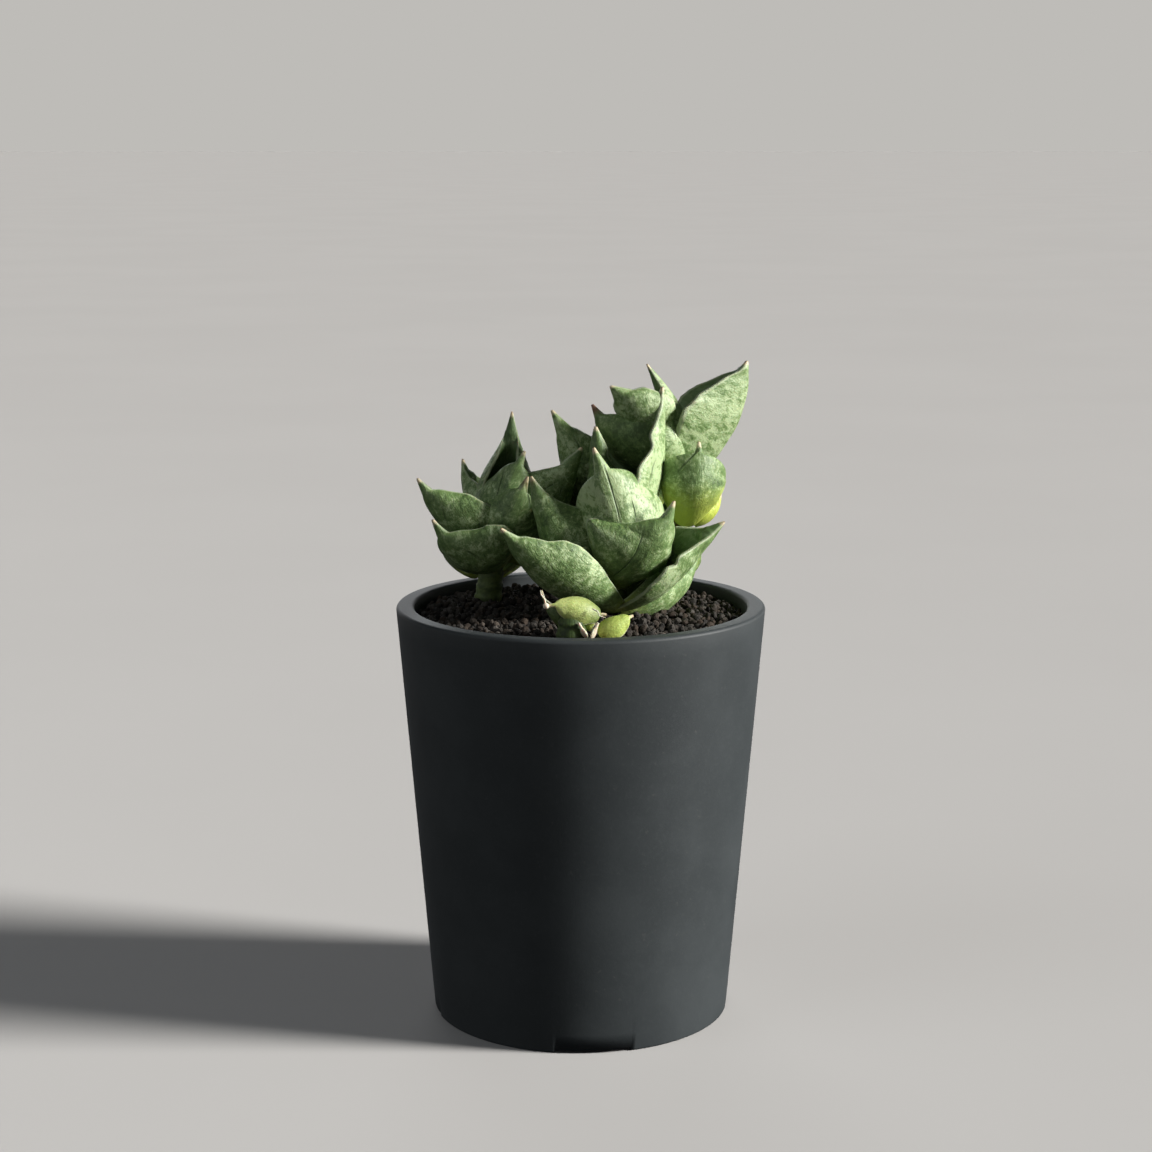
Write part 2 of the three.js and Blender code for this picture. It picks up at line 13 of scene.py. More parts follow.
import bmesh
import bpy
import numpy as np
from mathutils import Euler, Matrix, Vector


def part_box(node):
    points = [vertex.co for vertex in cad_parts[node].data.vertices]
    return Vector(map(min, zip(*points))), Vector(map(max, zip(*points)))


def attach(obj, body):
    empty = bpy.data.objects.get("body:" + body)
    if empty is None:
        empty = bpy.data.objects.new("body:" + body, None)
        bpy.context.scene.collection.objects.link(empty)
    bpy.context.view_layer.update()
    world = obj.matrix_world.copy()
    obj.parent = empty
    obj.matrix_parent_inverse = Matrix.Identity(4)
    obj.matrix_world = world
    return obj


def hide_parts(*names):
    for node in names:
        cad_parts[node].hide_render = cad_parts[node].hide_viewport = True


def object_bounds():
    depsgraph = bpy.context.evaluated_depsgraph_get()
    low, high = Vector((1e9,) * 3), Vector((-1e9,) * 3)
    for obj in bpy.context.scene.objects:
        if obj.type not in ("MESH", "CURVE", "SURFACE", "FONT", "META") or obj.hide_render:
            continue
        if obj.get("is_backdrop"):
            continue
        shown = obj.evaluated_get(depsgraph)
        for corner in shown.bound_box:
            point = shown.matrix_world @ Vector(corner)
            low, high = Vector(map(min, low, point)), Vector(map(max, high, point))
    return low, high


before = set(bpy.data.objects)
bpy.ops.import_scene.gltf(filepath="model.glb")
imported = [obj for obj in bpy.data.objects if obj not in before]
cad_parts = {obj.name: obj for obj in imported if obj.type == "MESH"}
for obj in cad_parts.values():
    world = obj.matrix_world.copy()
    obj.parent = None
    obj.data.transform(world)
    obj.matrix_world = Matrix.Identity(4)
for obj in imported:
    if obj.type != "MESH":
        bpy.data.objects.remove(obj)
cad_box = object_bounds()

MM = 0.001
scene = bpy.context.scene
print("frame:", len(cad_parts), "nodes,", round((cad_box[1].z - cad_box[0].z) / MM, 1), "mm tall")

# %% [markdown]
# ## The camera
# The picture was taken from a little above the rim, from about two thirds of a metre away. The
# ellipse of the rim gives how far the camera looks down, and the taper of the pot gives how far
# away it stands. Both fit a long lens: its focal length is 2400 pixels, the picture's width 1152.
# Such a camera shows each leaf about where the photograph shows it, so the two can be compared.

# %% Camera
PHOTO_SIDE = 1152  # pixels
FOCAL_LENGTH = 2400  # pixels of the photograph
SENSOR = 36  # mm, Blender's own sensor width
CAMERA_PLACE = (0, -671.8, 251.1)
LOOKS_DOWN = 0.1831  # radians
LOOKS_LEFT = 0.0020

camera_data = bpy.data.cameras.new("photo_camera")
camera_data.sensor_width = SENSOR
camera_data.lens = SENSOR * FOCAL_LENGTH / PHOTO_SIDE
camera = bpy.data.objects.new("photo_camera", camera_data)
camera.location = Vector(CAMERA_PLACE) * MM
camera.rotation_euler = Euler((math.pi / 2 - LOOKS_DOWN, 0, LOOKS_LEFT))
scene.collection.objects.link(camera)
scene.camera = camera
print("camera:", round(camera_data.lens, 1), "mm lens")

# %% [markdown]
# ## Colours and shader maths
# A colour read off a screen is stored in a curved scale, while a shader works with light itself.
# The function below turns the one into the other, so the colours can be written as a painter
# would pick them.
#
# Nodes could be wired one by one, but then the sum that they do is hard to see. Here a small class
# wraps a node's output, and Python's own signs add the Math nodes: `1 - mask` reads as what it is.

# %% Colours
def srgb(red, green, blue):
    """A screen colour from 0 to 255 as the light that a shader takes."""
    shares = [value / 255 for value in (red, green, blue)]
    light = [s / 12.92 if s <= 0.04045 else ((s + 0.055) / 1.055) ** 2.4 for s in shares]
    return (*light, 1.0)


print("mid grey as light:", round(srgb(128, 128, 128)[0], 3))


# %% A socket that Python's signs work on
class Wire:
    """A node's output. Sums on it add Math nodes to its material."""

    def __init__(self, tree, socket=None):
        self.tree = tree
        self.socket = socket

    def node(self, kind, settings=None, values=None, output=0):
        """Any node: its settings, then the values or links of its sockets. Gives one output or several."""
        made = self.tree.nodes.new("ShaderNode" + kind)
        for name, value in (settings or {}).items():
            setattr(made, name, value)
        for name, value in (values or {}).items():
            if isinstance(value, Wire):
                self.tree.links.new(value.socket, made.inputs[name])
            else:
                made.inputs[name].default_value = value
        if isinstance(output, tuple):
            return [Wire(self.tree, made.outputs[name]) for name in output]
        return Wire(self.tree, made.outputs[output])

    def math(self, operation, *values):
        return self.node("Math", {"operation": operation}, dict(enumerate(values)))

    def __add__(self, other):
        return self.math("ADD", self, other)

    def __sub__(self, other):
        return self.math("SUBTRACT", self, other)

    def __rsub__(self, other):
        return self.math("SUBTRACT", other, self)

    def __mul__(self, other):
        return self.math("MULTIPLY", self, other)

    def __neg__(self):
        return self.math("MULTIPLY", self, -1)

    __radd__ = __add__
    __rmul__ = __mul__

    def size(self):
        """The number without its sign."""
        return self.math("ABSOLUTE", self)

    def both(self, other):
        """The smaller of two masks: where both hold."""
        return self.math("MINIMUM", self, other)

    def either(self, other):
        """The larger of two masks: where one of them holds."""
        return self.math("MAXIMUM", self, other)

    def smooth(self, low, high):
        """0 below low, 1 above high, with a soft step between. A high under low turns the step round."""
        settings = {"interpolation_type": "SMOOTHSTEP"}
        return self.node("MapRange", settings, {"Value": self, "From Min": low, "From Max": high})


print("shader maths ready")


# %% Mixing, noise and linking
COLOUR_MIX = {"factor": 0, "a": 6, "b": 7, "result": 2}  # places of the Mix node's colour sockets


def mix(factor, a, b):
    """Colour a where factor is 0, colour b where it is 1."""
    slots = {COLOUR_MIX["factor"]: factor, COLOUR_MIX["a"]: a, COLOUR_MIX["b"]: b}
    return factor.node("Mix", {"data_type": "RGBA"}, slots, COLOUR_MIX["result"])


def stretch(vector, along):
    """The vector with its parts multiplied."""
    return vector.node("VectorMath", {"operation": "MULTIPLY"}, {0: vector, 1: along})


def noise(vector, scale, detail=3, roughness=0.55, distortion=0.0):
    """Cloudy noise from 0 to 1, of about 1 / scale across."""
    values = {"Vector": vector, "Scale": scale, "Detail": detail}
    values |= {"Roughness": roughness, "Distortion": distortion}
    return vector.node("TexNoise", None, values, "Fac")


def new_finish(name, **constants):
    """A material, its shader with these constants set, and a wire to start from."""
    material = bpy.data.materials.new(name)
    material.use_nodes = True
    shader = material.node_tree.nodes["Principled BSDF"]
    for socket, value in constants.items():
        shader.inputs[socket.replace("_", " ")].default_value = value
    return material, shader, Wire(material.node_tree)


def feed(shader, **wires):
    """Links wires to the shader's sockets."""
    for socket, wire in wires.items():
        wire.tree.links.new(wire.socket, shader.inputs[socket.replace("_", " ")])


def bump(height, distance, strength=1.0):
    """A normal for a relief of that height, in metres."""
    values = {"Height": height, "Distance": distance, "Strength": strength}
    return height.node("Bump", None, values, "Normal")


def painted(start, name):
    """What the mesh says of itself at each point: three numbers under one name."""
    vector = start.node("Attribute", {"attribute_name": name}, None, "Vector")
    parts = start.node("SeparateXYZ", None, {"Vector": vector}, ("X", "Y", "Z"))
    return vector, parts


print("finish helpers ready")

# %% [markdown]
# ## The leaf as a shape
# A leaf of this plant is like the hull of a small boat. A keel runs along its back, the blade is
# cupped round a channel on its inner side, and it ends in a hard conical point.
#
# It could be sculpted, but nearly forty leaves share that one build, so a formula suits it better.
# The keel is a cubic curve from root to tip. At each share of its length the blade's width comes
# from a rise, a fall and the cone of the point. Two faces, the outer one and the channel's, are
# bent round the keel, and the margins join them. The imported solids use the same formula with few
# rows. They are cut back where leaves meet. These fine leaves aren't, so some run into each other.

# %% What all leaves share
LEAF = dict(
    bow=(4, 4),  # how far the keel stands out, at a third and at two thirds of its length
    sway=0,  # the same bow, sideways
    cup=80,  # half the angle that the blade wraps round, in degrees
    fold=0,  # how far it is folded like a V
    base=0.5,  # width at the root, as a share of the widest
    peak=0.45,  # where it is widest, from root 0 to tip 1
    blunt=0.95,  # under 1 is rounder towards the tip
    beak=(0, 0, 2),  # how the hard point bends away at the end
    thick=2.6,  # at the keel
    edge=0.9,  # at the margins
    point=4.2,  # length of the hard point
    horn=3.3,  # its radius where it starts
    keel=0.25,  # how sharply the back is ridged towards the tip
    wave=0.35,  # how far the margins wander
    notches=(),  # where a margin is nicked: share of the length, side, width and depth
    creases=(),  # folds in the skin: from and to, each a share along and across
    # On the bud, the root's colour that the second tint number reaches is a painted shadow.
    tint=(0.5, 0, 0),  # how pale, how many mm of yellow at the root, how red the point
)
ROWS = 84
COLUMNS = 32
ROW_CROWDING = 0.5  # how much closer the rows stand towards the tip
BEAK_FROM = 0.72  # share of the length where the hard point starts to bend away
NO_CREASE = 99.0  # mm, further than any leaf is wide


def clamp(x):
    return np.clip(x, 0, 1)


def soft_step(low, high, x):
    share = clamp((x - low) / (high - low))
    return share * share * (3 - 2 * share)


def unit(v):
    return v / np.linalg.norm(v, axis=-1, keepdims=True)


def seeded(name):
    """A random source that is the same for the same name in each run."""
    return np.random.default_rng(sum(ord(letter) * (i + 1) for i, letter in enumerate(name)))


print("a leaf has", 2 * (COLUMNS + 1) * (ROWS + 1), "points")


# %% The keel and its directions
def keel_of(leaf):
    """The keel as a function of the share t of its length, the leaf's length and its sideways direction."""
    root, tip, beak = (np.array(leaf[key], float) for key in ("root", "tip", "beak"))
    end = tip - beak
    chord = end - root
    length = np.linalg.norm(chord)
    along = chord / length
    faces = np.array(leaf["faces"], float)
    out = unit(faces - along * (faces @ along))
    across = np.cross(along, out)

    def control(share, bow):
        return root + chord * share + out * (bow * 4 / 3) + across * leaf["sway"]

    first, second = control(0.33, leaf["bow"][0]), control(0.7, leaf["bow"][1])

    def keel(t):
        t = np.asarray(t, float)[:, None]
        rest = 1 - t
        curve = rest**3 * root + 3 * rest**2 * t * first + 3 * rest * t**2 * second + t**3 * end
        return curve + beak * clamp((t - BEAK_FROM) / (1 - BEAK_FROM)) ** 2

    return keel, length, across


def directions(keel, across, t):
    """At each t, the point on the keel, the direction across the blade and the one behind it."""
    step = 1e-3
    tangent = unit(keel(np.minimum(t + step, 1)) - keel(np.maximum(t - step, 0)))
    side = unit(across - tangent * (tangent @ across)[:, None])
    return keel(t), side, np.cross(side, tangent)


print("keel ready")


# %% The blade's width and thickness along its length
def section_of(leaf, length, t):
    """At each t, half the width laid flat, the half angle of the wrap, the thickness and the roundness."""
    x = clamp(t / (1 - 0.8 * leaf["point"] / length))
    rise = leaf["base"] + (1 - leaf["base"]) * np.sin(clamp(x / leaf["peak"]) * math.pi / 2)
    fall = np.cos(clamp((x - leaf["peak"]) / (1 - leaf["peak"])) * math.pi / 2)
    blade = leaf["width"] / 2 * rise * np.maximum(fall, 0) ** leaf["blunt"]
    points = np.maximum((1 - t) * length / leaf["point"], 0)  # back from the tip, in lengths of the point
    cone = (0.5 + (leaf["horn"] - 0.5) * clamp(points)) * clamp(2.1 - points)
    half = np.cbrt(blade**3 + cone**3)
    roundness = 1 - soft_step(0.6, 2.4, points)  # the channel closes into the point
    wrap = math.radians(leaf["cup"]) * (0.85 + 0.15 * soft_step(0, 0.5, t))
    thick = leaf["thick"] * (0.75 + 0.25 * soft_step(0, 0.3, t))
    return half, wrap, np.minimum(thick, 0.85 * half / wrap), roundness


print("section ready")

# %% [markdown]
# ### What age does to a leaf
# No real leaf is as even as a formula. Its margins wander, one may be nicked where it dried, and
# thick skin folds into a few sharp creases beside the keel. Small seeded waves move the margins in
# and out, a nick pulls one margin back, and a crease presses a shallow valley into the back.
#
# The thin dark line in a crease is painted shade, where shade falls in the fold, and it is finer
# than the mesh. So each point only stores how far it lies from the crease, which stays exact between
# points, and the shader draws the line from that.


# %% Waves, nicks and creases
MARGIN_WAVES = ((17, 0.5), (9, 0.35), (4.5, 0.2))  # each one's length in mm, and its share of the size


def margin_waves(name, t, length, size):
    """How far each margin moves out and back along the leaf: two rows of soft seeded waves."""
    random = seeded(name)
    waves = []
    for _ in range(4):
        total = np.zeros_like(t)
        for period, share in MARGIN_WAVES:
            total += share * np.sin(2 * math.pi * (t * length / period + random.random()))
        waves.append(size * total * soft_step(0.02, 0.2, t) * soft_step(1, 0.82, t))
    return waves


def nick(leaf, length, t, s):
    """The share by which the blade is drawn in at each point."""
    drawn = np.zeros(np.broadcast(t, s).shape)
    for where, side, width, depth in leaf["notches"]:
        reach = np.exp(-(((t - where) * length / width) ** 2))
        drawn = drawn + depth * reach * np.where(s * side > 0, np.abs(s) ** 3, 0)
    return drawn


def crease_places(leaf, length, across, along, half_at):
    """For each of two creases, how far each point lies beside it, past its start and before its end."""
    places = []
    for crease in (*leaf["creases"][:2], None, None)[:2]:
        if crease is None:
            places.append(np.full((*across.shape, 3), NO_CREASE))
            continue
        (t0, s0), (t1, s1) = crease
        start = np.array([s0 * half_at(t0), t0 * length])
        end = np.array([s1 * half_at(t1), t1 * length])
        run = np.linalg.norm(end - start)
        way = (end - start) / run
        offset = np.stack([across - start[0], along - start[1]], -1)
        beside = offset @ np.array([way[1], -way[0]])
        past = offset @ way
        places.append(np.stack([beside, past, run - past], -1))
    return places


def valley(place, width=1.3, fade=2.5):
    """1 along the bottom of a crease, 0 away from it."""
    beside, past, before = np.moveaxis(place, -1, 0)
    inside = soft_step(-fade, fade, past) * soft_step(-fade, fade, before)
    return np.exp(-((beside / width) ** 2)) * inside


print("ageing ready")


# %% Both faces of a leaf
FOLD_SOFTNESS = 0.12  # share of the half width over which a fold is rounded
LUMP_HEIGHT = 0.16  # mm, of the skin's slow unevenness
CREASE_DEPTH = 0.45  # mm


def leaf_points(name, leaf):
    """The outer face and the channel's face as grids of points, and what the mesh says of each point."""
    keel, length, sideways = keel_of(leaf)
    u = np.linspace(0, 1, ROWS + 1)
    t = np.minimum(u * (1 + ROW_CROWDING * (1 - u)), 1)
    middle, side, back = directions(keel, sideways, t)
    half, wrap, thick, roundness = (a[:, None] for a in section_of(leaf, length, t))
    s = np.linspace(-1, 1, COLUMNS + 1)[None, :]
    t = t[:, None]
    radius = half / wrap
    horn = half * np.minimum(1, 1.1 / wrap)  # the point's own radius, no wider than the rolled blade
    thin = thick * (1 - (1 - np.minimum(leaf["edge"] / thick, 1)) * np.abs(s) ** 2.2)

    across, along = s * half, t * length + 0 * s

    def half_at(share):
        return np.interp(share, t[:, 0], half[:, 0])

    creases = crease_places(leaf, length, across, along, half_at)
    dents = sum(valley(place) for place in creases)
    left_in, left_out, right_in, right_out = margin_waves(name, t[:, 0], length, leaf["wave"])
    reach = np.abs(s) ** 3 * (1 - roundness)
    turn_out = reach * np.where(s < 0, left_out[:, None], right_out[:, None])
    turn_in = reach * np.where(s < 0, left_in[:, None], right_in[:, None])
    one_way, other_way = across / 3.1 + along / 4.3 + len(name), along / 2.9 - across / 5.3
    lumps = LUMP_HEIGHT * np.sin(one_way) * np.sin(other_way)

    bend = s * (1 - nick(leaf, length, t, s))
    ridge = leaf["fold"] + leaf["keel"] * soft_step(0.3, 1, t) * (1 - roundness)
    folded = np.hypot(bend, FOLD_SOFTNESS) - FOLD_SOFTNESS
    fold = ridge * half * folded + turn_out + lumps * (1 - roundness)
    sin, cos = np.sin(bend * wrap), np.cos(bend * wrap)
    sin_round, cos_round = np.sin(s * math.pi / 2), np.cos(s * math.pi / 2)

    def mixed(blade, cone):
        return blade * (1 - roundness) + cone * roundness

    def placed(w, d):
        return middle[:, None] + side[:, None] * w[..., None] - back[:, None] * d[..., None]

    widen = 1 + turn_in / np.maximum(half, 1)
    outer = placed(
        mixed(radius * sin * widen, horn * sin_round),
        mixed(radius * (1 - cos) + fold + CREASE_DEPTH * dents, horn * (1 - cos_round)),
    )
    inner = placed(
        mixed((radius - thin) * sin * widen, horn * sin_round),
        mixed(radius - (radius - thin) * cos + fold, horn * (1 + 0.6 * cos_round) + 0.02),
    )
    from_margin = (1 - np.abs(s)) * half
    from_tip = (1 - t) * length + 0 * s
    return outer, inner, across, along, from_margin, from_tip, creases


print("leaf points ready")


# %% A leaf's mesh
def ring_quads(rings, sides, closed=False):
    """Quads from each ring of points to the next, and from the last to the first if closed."""
    k, j = np.meshgrid(np.arange(rings if closed else rings - 1), np.arange(sides), indexing="ij")
    a, b = k * sides + j, k * sides + (j + 1) % sides
    return np.stack([a, b, b + sides, a + sides], -1).reshape(-1, 4) % (rings * sides)


def leaf_faces(rows, columns):
    """Quads round each row's ring of points, and strips that close root and tip."""
    ring = 2 * columns + 2
    skin = ring_quads(rows + 1, ring)
    near = np.arange(columns)
    far = ring - 1 - near
    root = np.stack([near, far, far - 1, near + 1], -1)
    last = rows * ring
    tip = np.stack([last + near, last + near + 1, last + far - 1, last + far], -1)
    return np.concatenate([skin, root, tip])


def ring_order(outer, inner):
    """Both faces' rows as one ring: out along the back and home along the channel."""
    return np.concatenate([outer, inner[:, ::-1]], axis=1)


def new_object(name, points, faces):
    """An object with a mesh of its own, from points in millimetres."""
    mesh = bpy.data.meshes.new(name)
    mesh.from_pydata((points * MM).tolist(), [], faces.tolist() if hasattr(faces, "tolist") else faces)
    made = bpy.data.objects.new(name, mesh)
    scene.collection.objects.link(made)
    return made


def new_piece(name, points, faces, material, slot, replaces=(), smooth=True):
    """A mesh that rides on the plant's one body and takes the given material."""
    piece = new_object(name, points, faces)
    mesh = piece.data
    mesh.validate()
    mesh.polygons.foreach_set("use_smooth", [smooth] * len(mesh.polygons))
    mesh.materials.append(material)
    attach(piece, "root")
    if replaces:
        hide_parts(*replaces)
    return piece


def say(piece, name, values):
    """Stores three numbers for each point of the piece's mesh under a name."""
    data = piece.data.attributes.new(name, "FLOAT_VECTOR", "POINT").data
    data.foreach_set("vector", np.ascontiguousarray(values, np.float32).ravel())


SKIN_APART = 57  # mm between the marbling of back and channel, so that they differ
SEED_REACH = 40  # mm over which the leaves' marbling is spread


def grow_leaf(name, given, material, slot):
    leaf = {**LEAF, **given}
    outer, inner, across, along, from_margin, from_tip, creases = leaf_points(name, leaf)
    points = ring_order(outer, inner).reshape(-1, 3)
    piece = new_piece(name + "_grown", points, leaf_faces(ROWS, COLUMNS), material, slot, [name])
    seed = SEED_REACH * seeded(name).random() + 0 * across
    place_out = np.stack([across, along, seed], -1)
    place_in = np.stack([across, along, seed + SKIN_APART], -1)
    part_out, part_in = (np.stack([from_tip, from_margin, inside + 0 * across], -1) for inside in (0, 1))
    say(piece, "leaf_place", ring_order(place_out, place_in))
    say(piece, "leaf_part", ring_order(part_out, part_in))
    none = np.full_like(creases[0], NO_CREASE)
    say(piece, "crease_a", ring_order(creases[0], none))
    say(piece, "crease_b", ring_order(creases[1], none))
    say(piece, "leaf_tint", np.tile(leaf["tint"], (len(points), 1)))


def grow_all(title, leaves, skin, slot="leaf"):
    """Grows each leaf of a table."""
    for name, given in leaves.items():
        grow_leaf(name, given, skin, slot)
    print(title + ":", len(leaves), "grown")


print("one leaf is", len(leaf_faces(ROWS, COLUMNS)), "faces")

# %% [markdown]
# ## The leaf's skin
# The skin is grey-green under a thin bloom of wax, and finely marbled: paler and darker spots a
# millimetre across gather into clouds. The channel is darker, partly a deeper green of its own and
# partly painted shade. The margins have a thin pale line, and the hard point dries to cream, on
# some leaves with a rust-coloured end. The lowest part of a young leaf, which has seen no light, is
# yellow.
#
# An image could hold all of this, but it would blur close up and would need unwrapping. Noise in
# the leaf's own coordinates, in millimetres along and across it, follows the leaf as it bends.


# %% Leaf skin
def line_mask(place, width, fade):
    """1 on a crease's line, from how far a point lies beside it, past its start and before its end."""
    beside, past, before = place
    inside = past.smooth(-fade, fade).both(before.smooth(-fade, fade))
    return beside.size().smooth(width, 0).both(inside)


def leaf_skin(name, pale, green, deep, shade, root_yellow_and_bud_shade, margin, mottled=1.0):
    """Marbled waxy skin. shade is the channel's colour, partly painted shade; the colour after it is the
    root's: yellow, and on the bud a painted shadow.
    """
    constants = dict(Coat_Roughness=0.42, Subsurface_Weight=0.05, Subsurface_Scale=0.002)
    skin, shader, start = new_finish(name, **constants)
    place, (across, along, _) = painted(start, "leaf_place")
    _, (from_tip, from_margin, inside) = painted(start, "leaf_part")
    _, (paleness, root_yellow_and_shade_reach, redness) = painted(start, "leaf_tint")
    _, crease_a = painted(start, "crease_a")
    _, crease_b = painted(start, "crease_b")

    clouds = noise(stretch(place, (0.13, 0.18, 1)), 1.0, 4, 0.6, 0.5)
    spots = noise(stretch(place, (0.8, 0.62, 1)), 1.0, 4, 0.65, 0.5)
    flecks = noise(stretch(place, (3.4, 2.5, 1)), 1.0, 3, 0.6)
    marbling = clouds * 0.8 + spots * 0.85 + flecks * 0.45 - paleness * 0.36
    green_mask = marbling.smooth(0.7, 0.94) * mottled
    deep_mask = marbling.smooth(0.9, 1.15) * (0.8 * mottled)
    colour = mix(deep_mask, mix(green_mask, pale, green), deep)

    dark_mask = (1 - from_tip.smooth(3, 9)) * 0.3 + (1 - along.smooth(2, 16)) * 0.3
    colour = mix(dark_mask, colour, green)
    # The channel's face takes the shade colour: partly its own deeper green, partly painted shade.
    colour = mix(inside.smooth(0.3, 0.7) * 0.78, colour, shade)
    # The root's colour: yellow on most leaves, a grey-green painted shadow on the bud.
    wavering = along + clouds * 12 - 6
    colour = mix((wavering - root_yellow_and_shade_reach).smooth(8, -7), colour, root_yellow_and_bud_shade)

    # Painted shade: a dark line along each crease and a darker green band beside it, where shade falls in
    # the fold.
    crease = line_mask(crease_a, 0.34, 2.5).either(line_mask(crease_b, 0.28, 1.8))
    crease_shade_band = line_mask(crease_a, 2.2, 3).either(line_mask(crease_b, 1.6, 2))
    colour = mix(crease_shade_band * 0.3, colour, green)
    colour = mix(crease * (0.3 + flecks * 0.7), colour, deep)

    rim = from_margin.smooth(0.6, 0.2)
    colour = mix(rim * (0.2 + spots * 0.6), colour, margin)
    point_mask = (from_tip + spots).smooth(1.7, 0.9)
    colour = mix(redness * (from_tip + spots * 2).smooth(3.8, 1.2), colour, srgb(128, 62, 48))
    colour = mix(point_mask * (1 - redness * 0.8), colour, srgb(222, 208, 172))
    colour = mix((from_tip + flecks * 0.4).smooth(0.4, 0.2) * 0.6, colour, srgb(120, 78, 52))

    pores = noise(stretch(place, (3.2, 2.2, 1)), 1.0, 3)
    ribs = noise(stretch(place, (0.9, 0.13, 1)), 1.0, 3, 0.6, 0.6)
    relief = pores * 0.3 + ribs * 0.6 + spots * 0.9 - crease * 1.2
    feed(
        shader,
        Base_Color=colour,
        Roughness=0.42 + spots * 0.16 + inside * 0.08 + point_mask * 0.15,
        Coat_Weight=0.12 + 0.1 * (1 - green_mask),
        Normal=bump(relief, 0.0004, 0.8),
    )
    return skin


SKIN_COLOURS = ("pale", "green", "deep", "shade", "root_yellow_and_bud_shade", "margin")


def coloured_skin(name, *colours, mottled=1.0):
    """A leaf skin from six screen colours, in the order of SKIN_COLOURS."""
    given = {part: srgb(*colour) for part, colour in zip(SKIN_COLOURS, colours)}
    return leaf_skin(name, **given, mottled=mottled)


leaf_skin_grown = coloured_skin(
    "leaf_skin",
    (186, 206, 154), (114, 142, 82), (60, 86, 40), (70, 98, 50), (206, 220, 96), (206, 216, 180),
)
leaf_skin_young = coloured_skin(
    "young_leaf_skin",
    (222, 234, 136), (170, 192, 88), (104, 128, 48), (110, 130, 56), (196, 208, 82), (238, 232, 206),
    mottled=0.7,
)
# The bud's root colour is a grey-green painted shadow, where the leaves above shade its root end.
leaf_skin_bud = coloured_skin(
    "shaded_bud_skin",
    (234, 244, 158), (188, 206, 110), (112, 132, 54), (110, 130, 56), (100, 118, 62), (238, 232, 206),
    mottled=0.6,
)
leaf_skin_dark = coloured_skin(
    "dark_leaf_skin",
    (112, 130, 84), (74, 96, 54), (44, 62, 32), (42, 58, 32), (120, 130, 60), (226, 222, 200),
)
print("four leaf skins, one recipe")

# %% [markdown]
# ## The front rosette
# Nine leaves crowd round the short front stem, each turned a little from the last, so that light
# reaches all of them. They are written as a table, because that is how they were looked at: where
# each one is rooted, where its point is, which way its back faces, and how wide and hollow it is.
# `creases` and `notches` hold what is particular to a leaf, in shares along it and across it.

# %% Front rosette
FRONT_ROSETTE = {
    "leaf_front_5": dict(
        root=(10.5, -10, 118), tip=(-22, -26, 144.5), faces=(-0.35, -0.75, -0.6), width=29,
        bow=(5, 5.5), base=0.3, peak=0.55, blunt=0.55, beak=(-1.5, 0, 2.5), point=4, horn=3.2,
        notches=((0.81, 1, 2.2, 0.12),), tint=(0.45, 0, 0),
    ),
    "leaf_front_2": dict(
        root=(9, -8, 125), tip=(26, -18, 151), faces=(0.6, -0.8, -0.1), width=42, bow=(6, 7),
        sway=-1.5, cup=76, fold=0.1, base=0.3, blunt=0.6, beak=(0.5, 0, 3.5), point=3.4, horn=3.1,
        creases=(((0.17, -0.31), (0.75, -0.44)),), notches=((0.84, -1, 1.8, 0.06),),
        tint=(0.35, 0, 0),
    ),
    "leaf_front_4": dict(
        root=(11, -10, 116.5), tip=(34, 8, 131.5), faces=(0.5, -0.5, -0.7), width=30, bow=(7, 5),
        cup=85, base=0.4, tint=(0.4, 0, 0),
    ),
    "leaf_front_3": dict(
        root=(9.5, -6, 118), tip=(40.5, -8, 143.5), faces=(0.45, 0.4, -0.8), width=34, bow=(5, 2.5),
        cup=84, base=0.4, blunt=0.75, beak=(1, 0, 1.5), point=3.4, horn=2.8,
        notches=((0.62, -1, 1.6, 0.1), (0.8, -1, 1.8, 0.1)),
    ),
    "leaf_front_6": dict(
        root=(4, -7, 121), tip=(-14, -12, 157), faces=(-0.45, -0.85, -0.2), width=27, bow=(5, 5),
        sway=1.5, fold=0.1, base=0.3, peak=0.5, blunt=0.65, beak=(0, 0, 3), tint=(0.3, 0, 0.4),
    ),
    "leaf_front_1": dict(
        root=(9.5, -4, 122.5), tip=(3.5, -15, 165.5), faces=(0.05, -1, 0), width=37, bow=(8, 8),
        sway=5.5, base=0.4, peak=0.58, blunt=0.34, beak=(-1, 0, 5), point=4.6, horn=3.7,
        creases=(((0.64, 0), (0.92, 0.25)), ((0.6, 0.25), (0.73, 0.31))), tint=(0.65, 0, 0),
    ),
    "leaf_front_7": dict(
        root=(15.5, 9, 130.6), tip=(23.5, 6, 180.1), faces=(0.92, 0.38, -0.1), width=40, bow=(3, 4),
        cup=52, fold=0.3, base=0.4, blunt=0.9, beak=(0, 0, 3), point=3, horn=1.9,
        creases=(((0.53, -0.75), (0.64, -0.69)),),
        notches=((0.74, -1, 2.5, 0.14), (0.86, -1, 2.2, 0.14)), wave=0.6, tint=(0.7, 0, 0),
    ),
    "leaf_front_8": dict(
        root=(9, 2, 127), tip=(4, 4, 169), faces=(-0.45, -0.9, 0.1), width=22, bow=(4, 3), cup=60,
        fold=0.35, point=5, horn=2.9, tint=(0.25, 0, 0),
    ),
    "leaf_front_9": dict(
        root=(12, -1, 121), tip=(27, 12, 149), faces=(0.6, 0.8, -0.2), width=20,
    ),
}

grow_all("front rosette", FRONT_ROSETTE, leaf_skin_grown)

# %% [markdown]
# ## The right rosette
# This is the tallest shoot. Its lowest visible leaf has grown in the shade of the others, so its
# root is still yellow, and its outermost leaf stands open like a page.

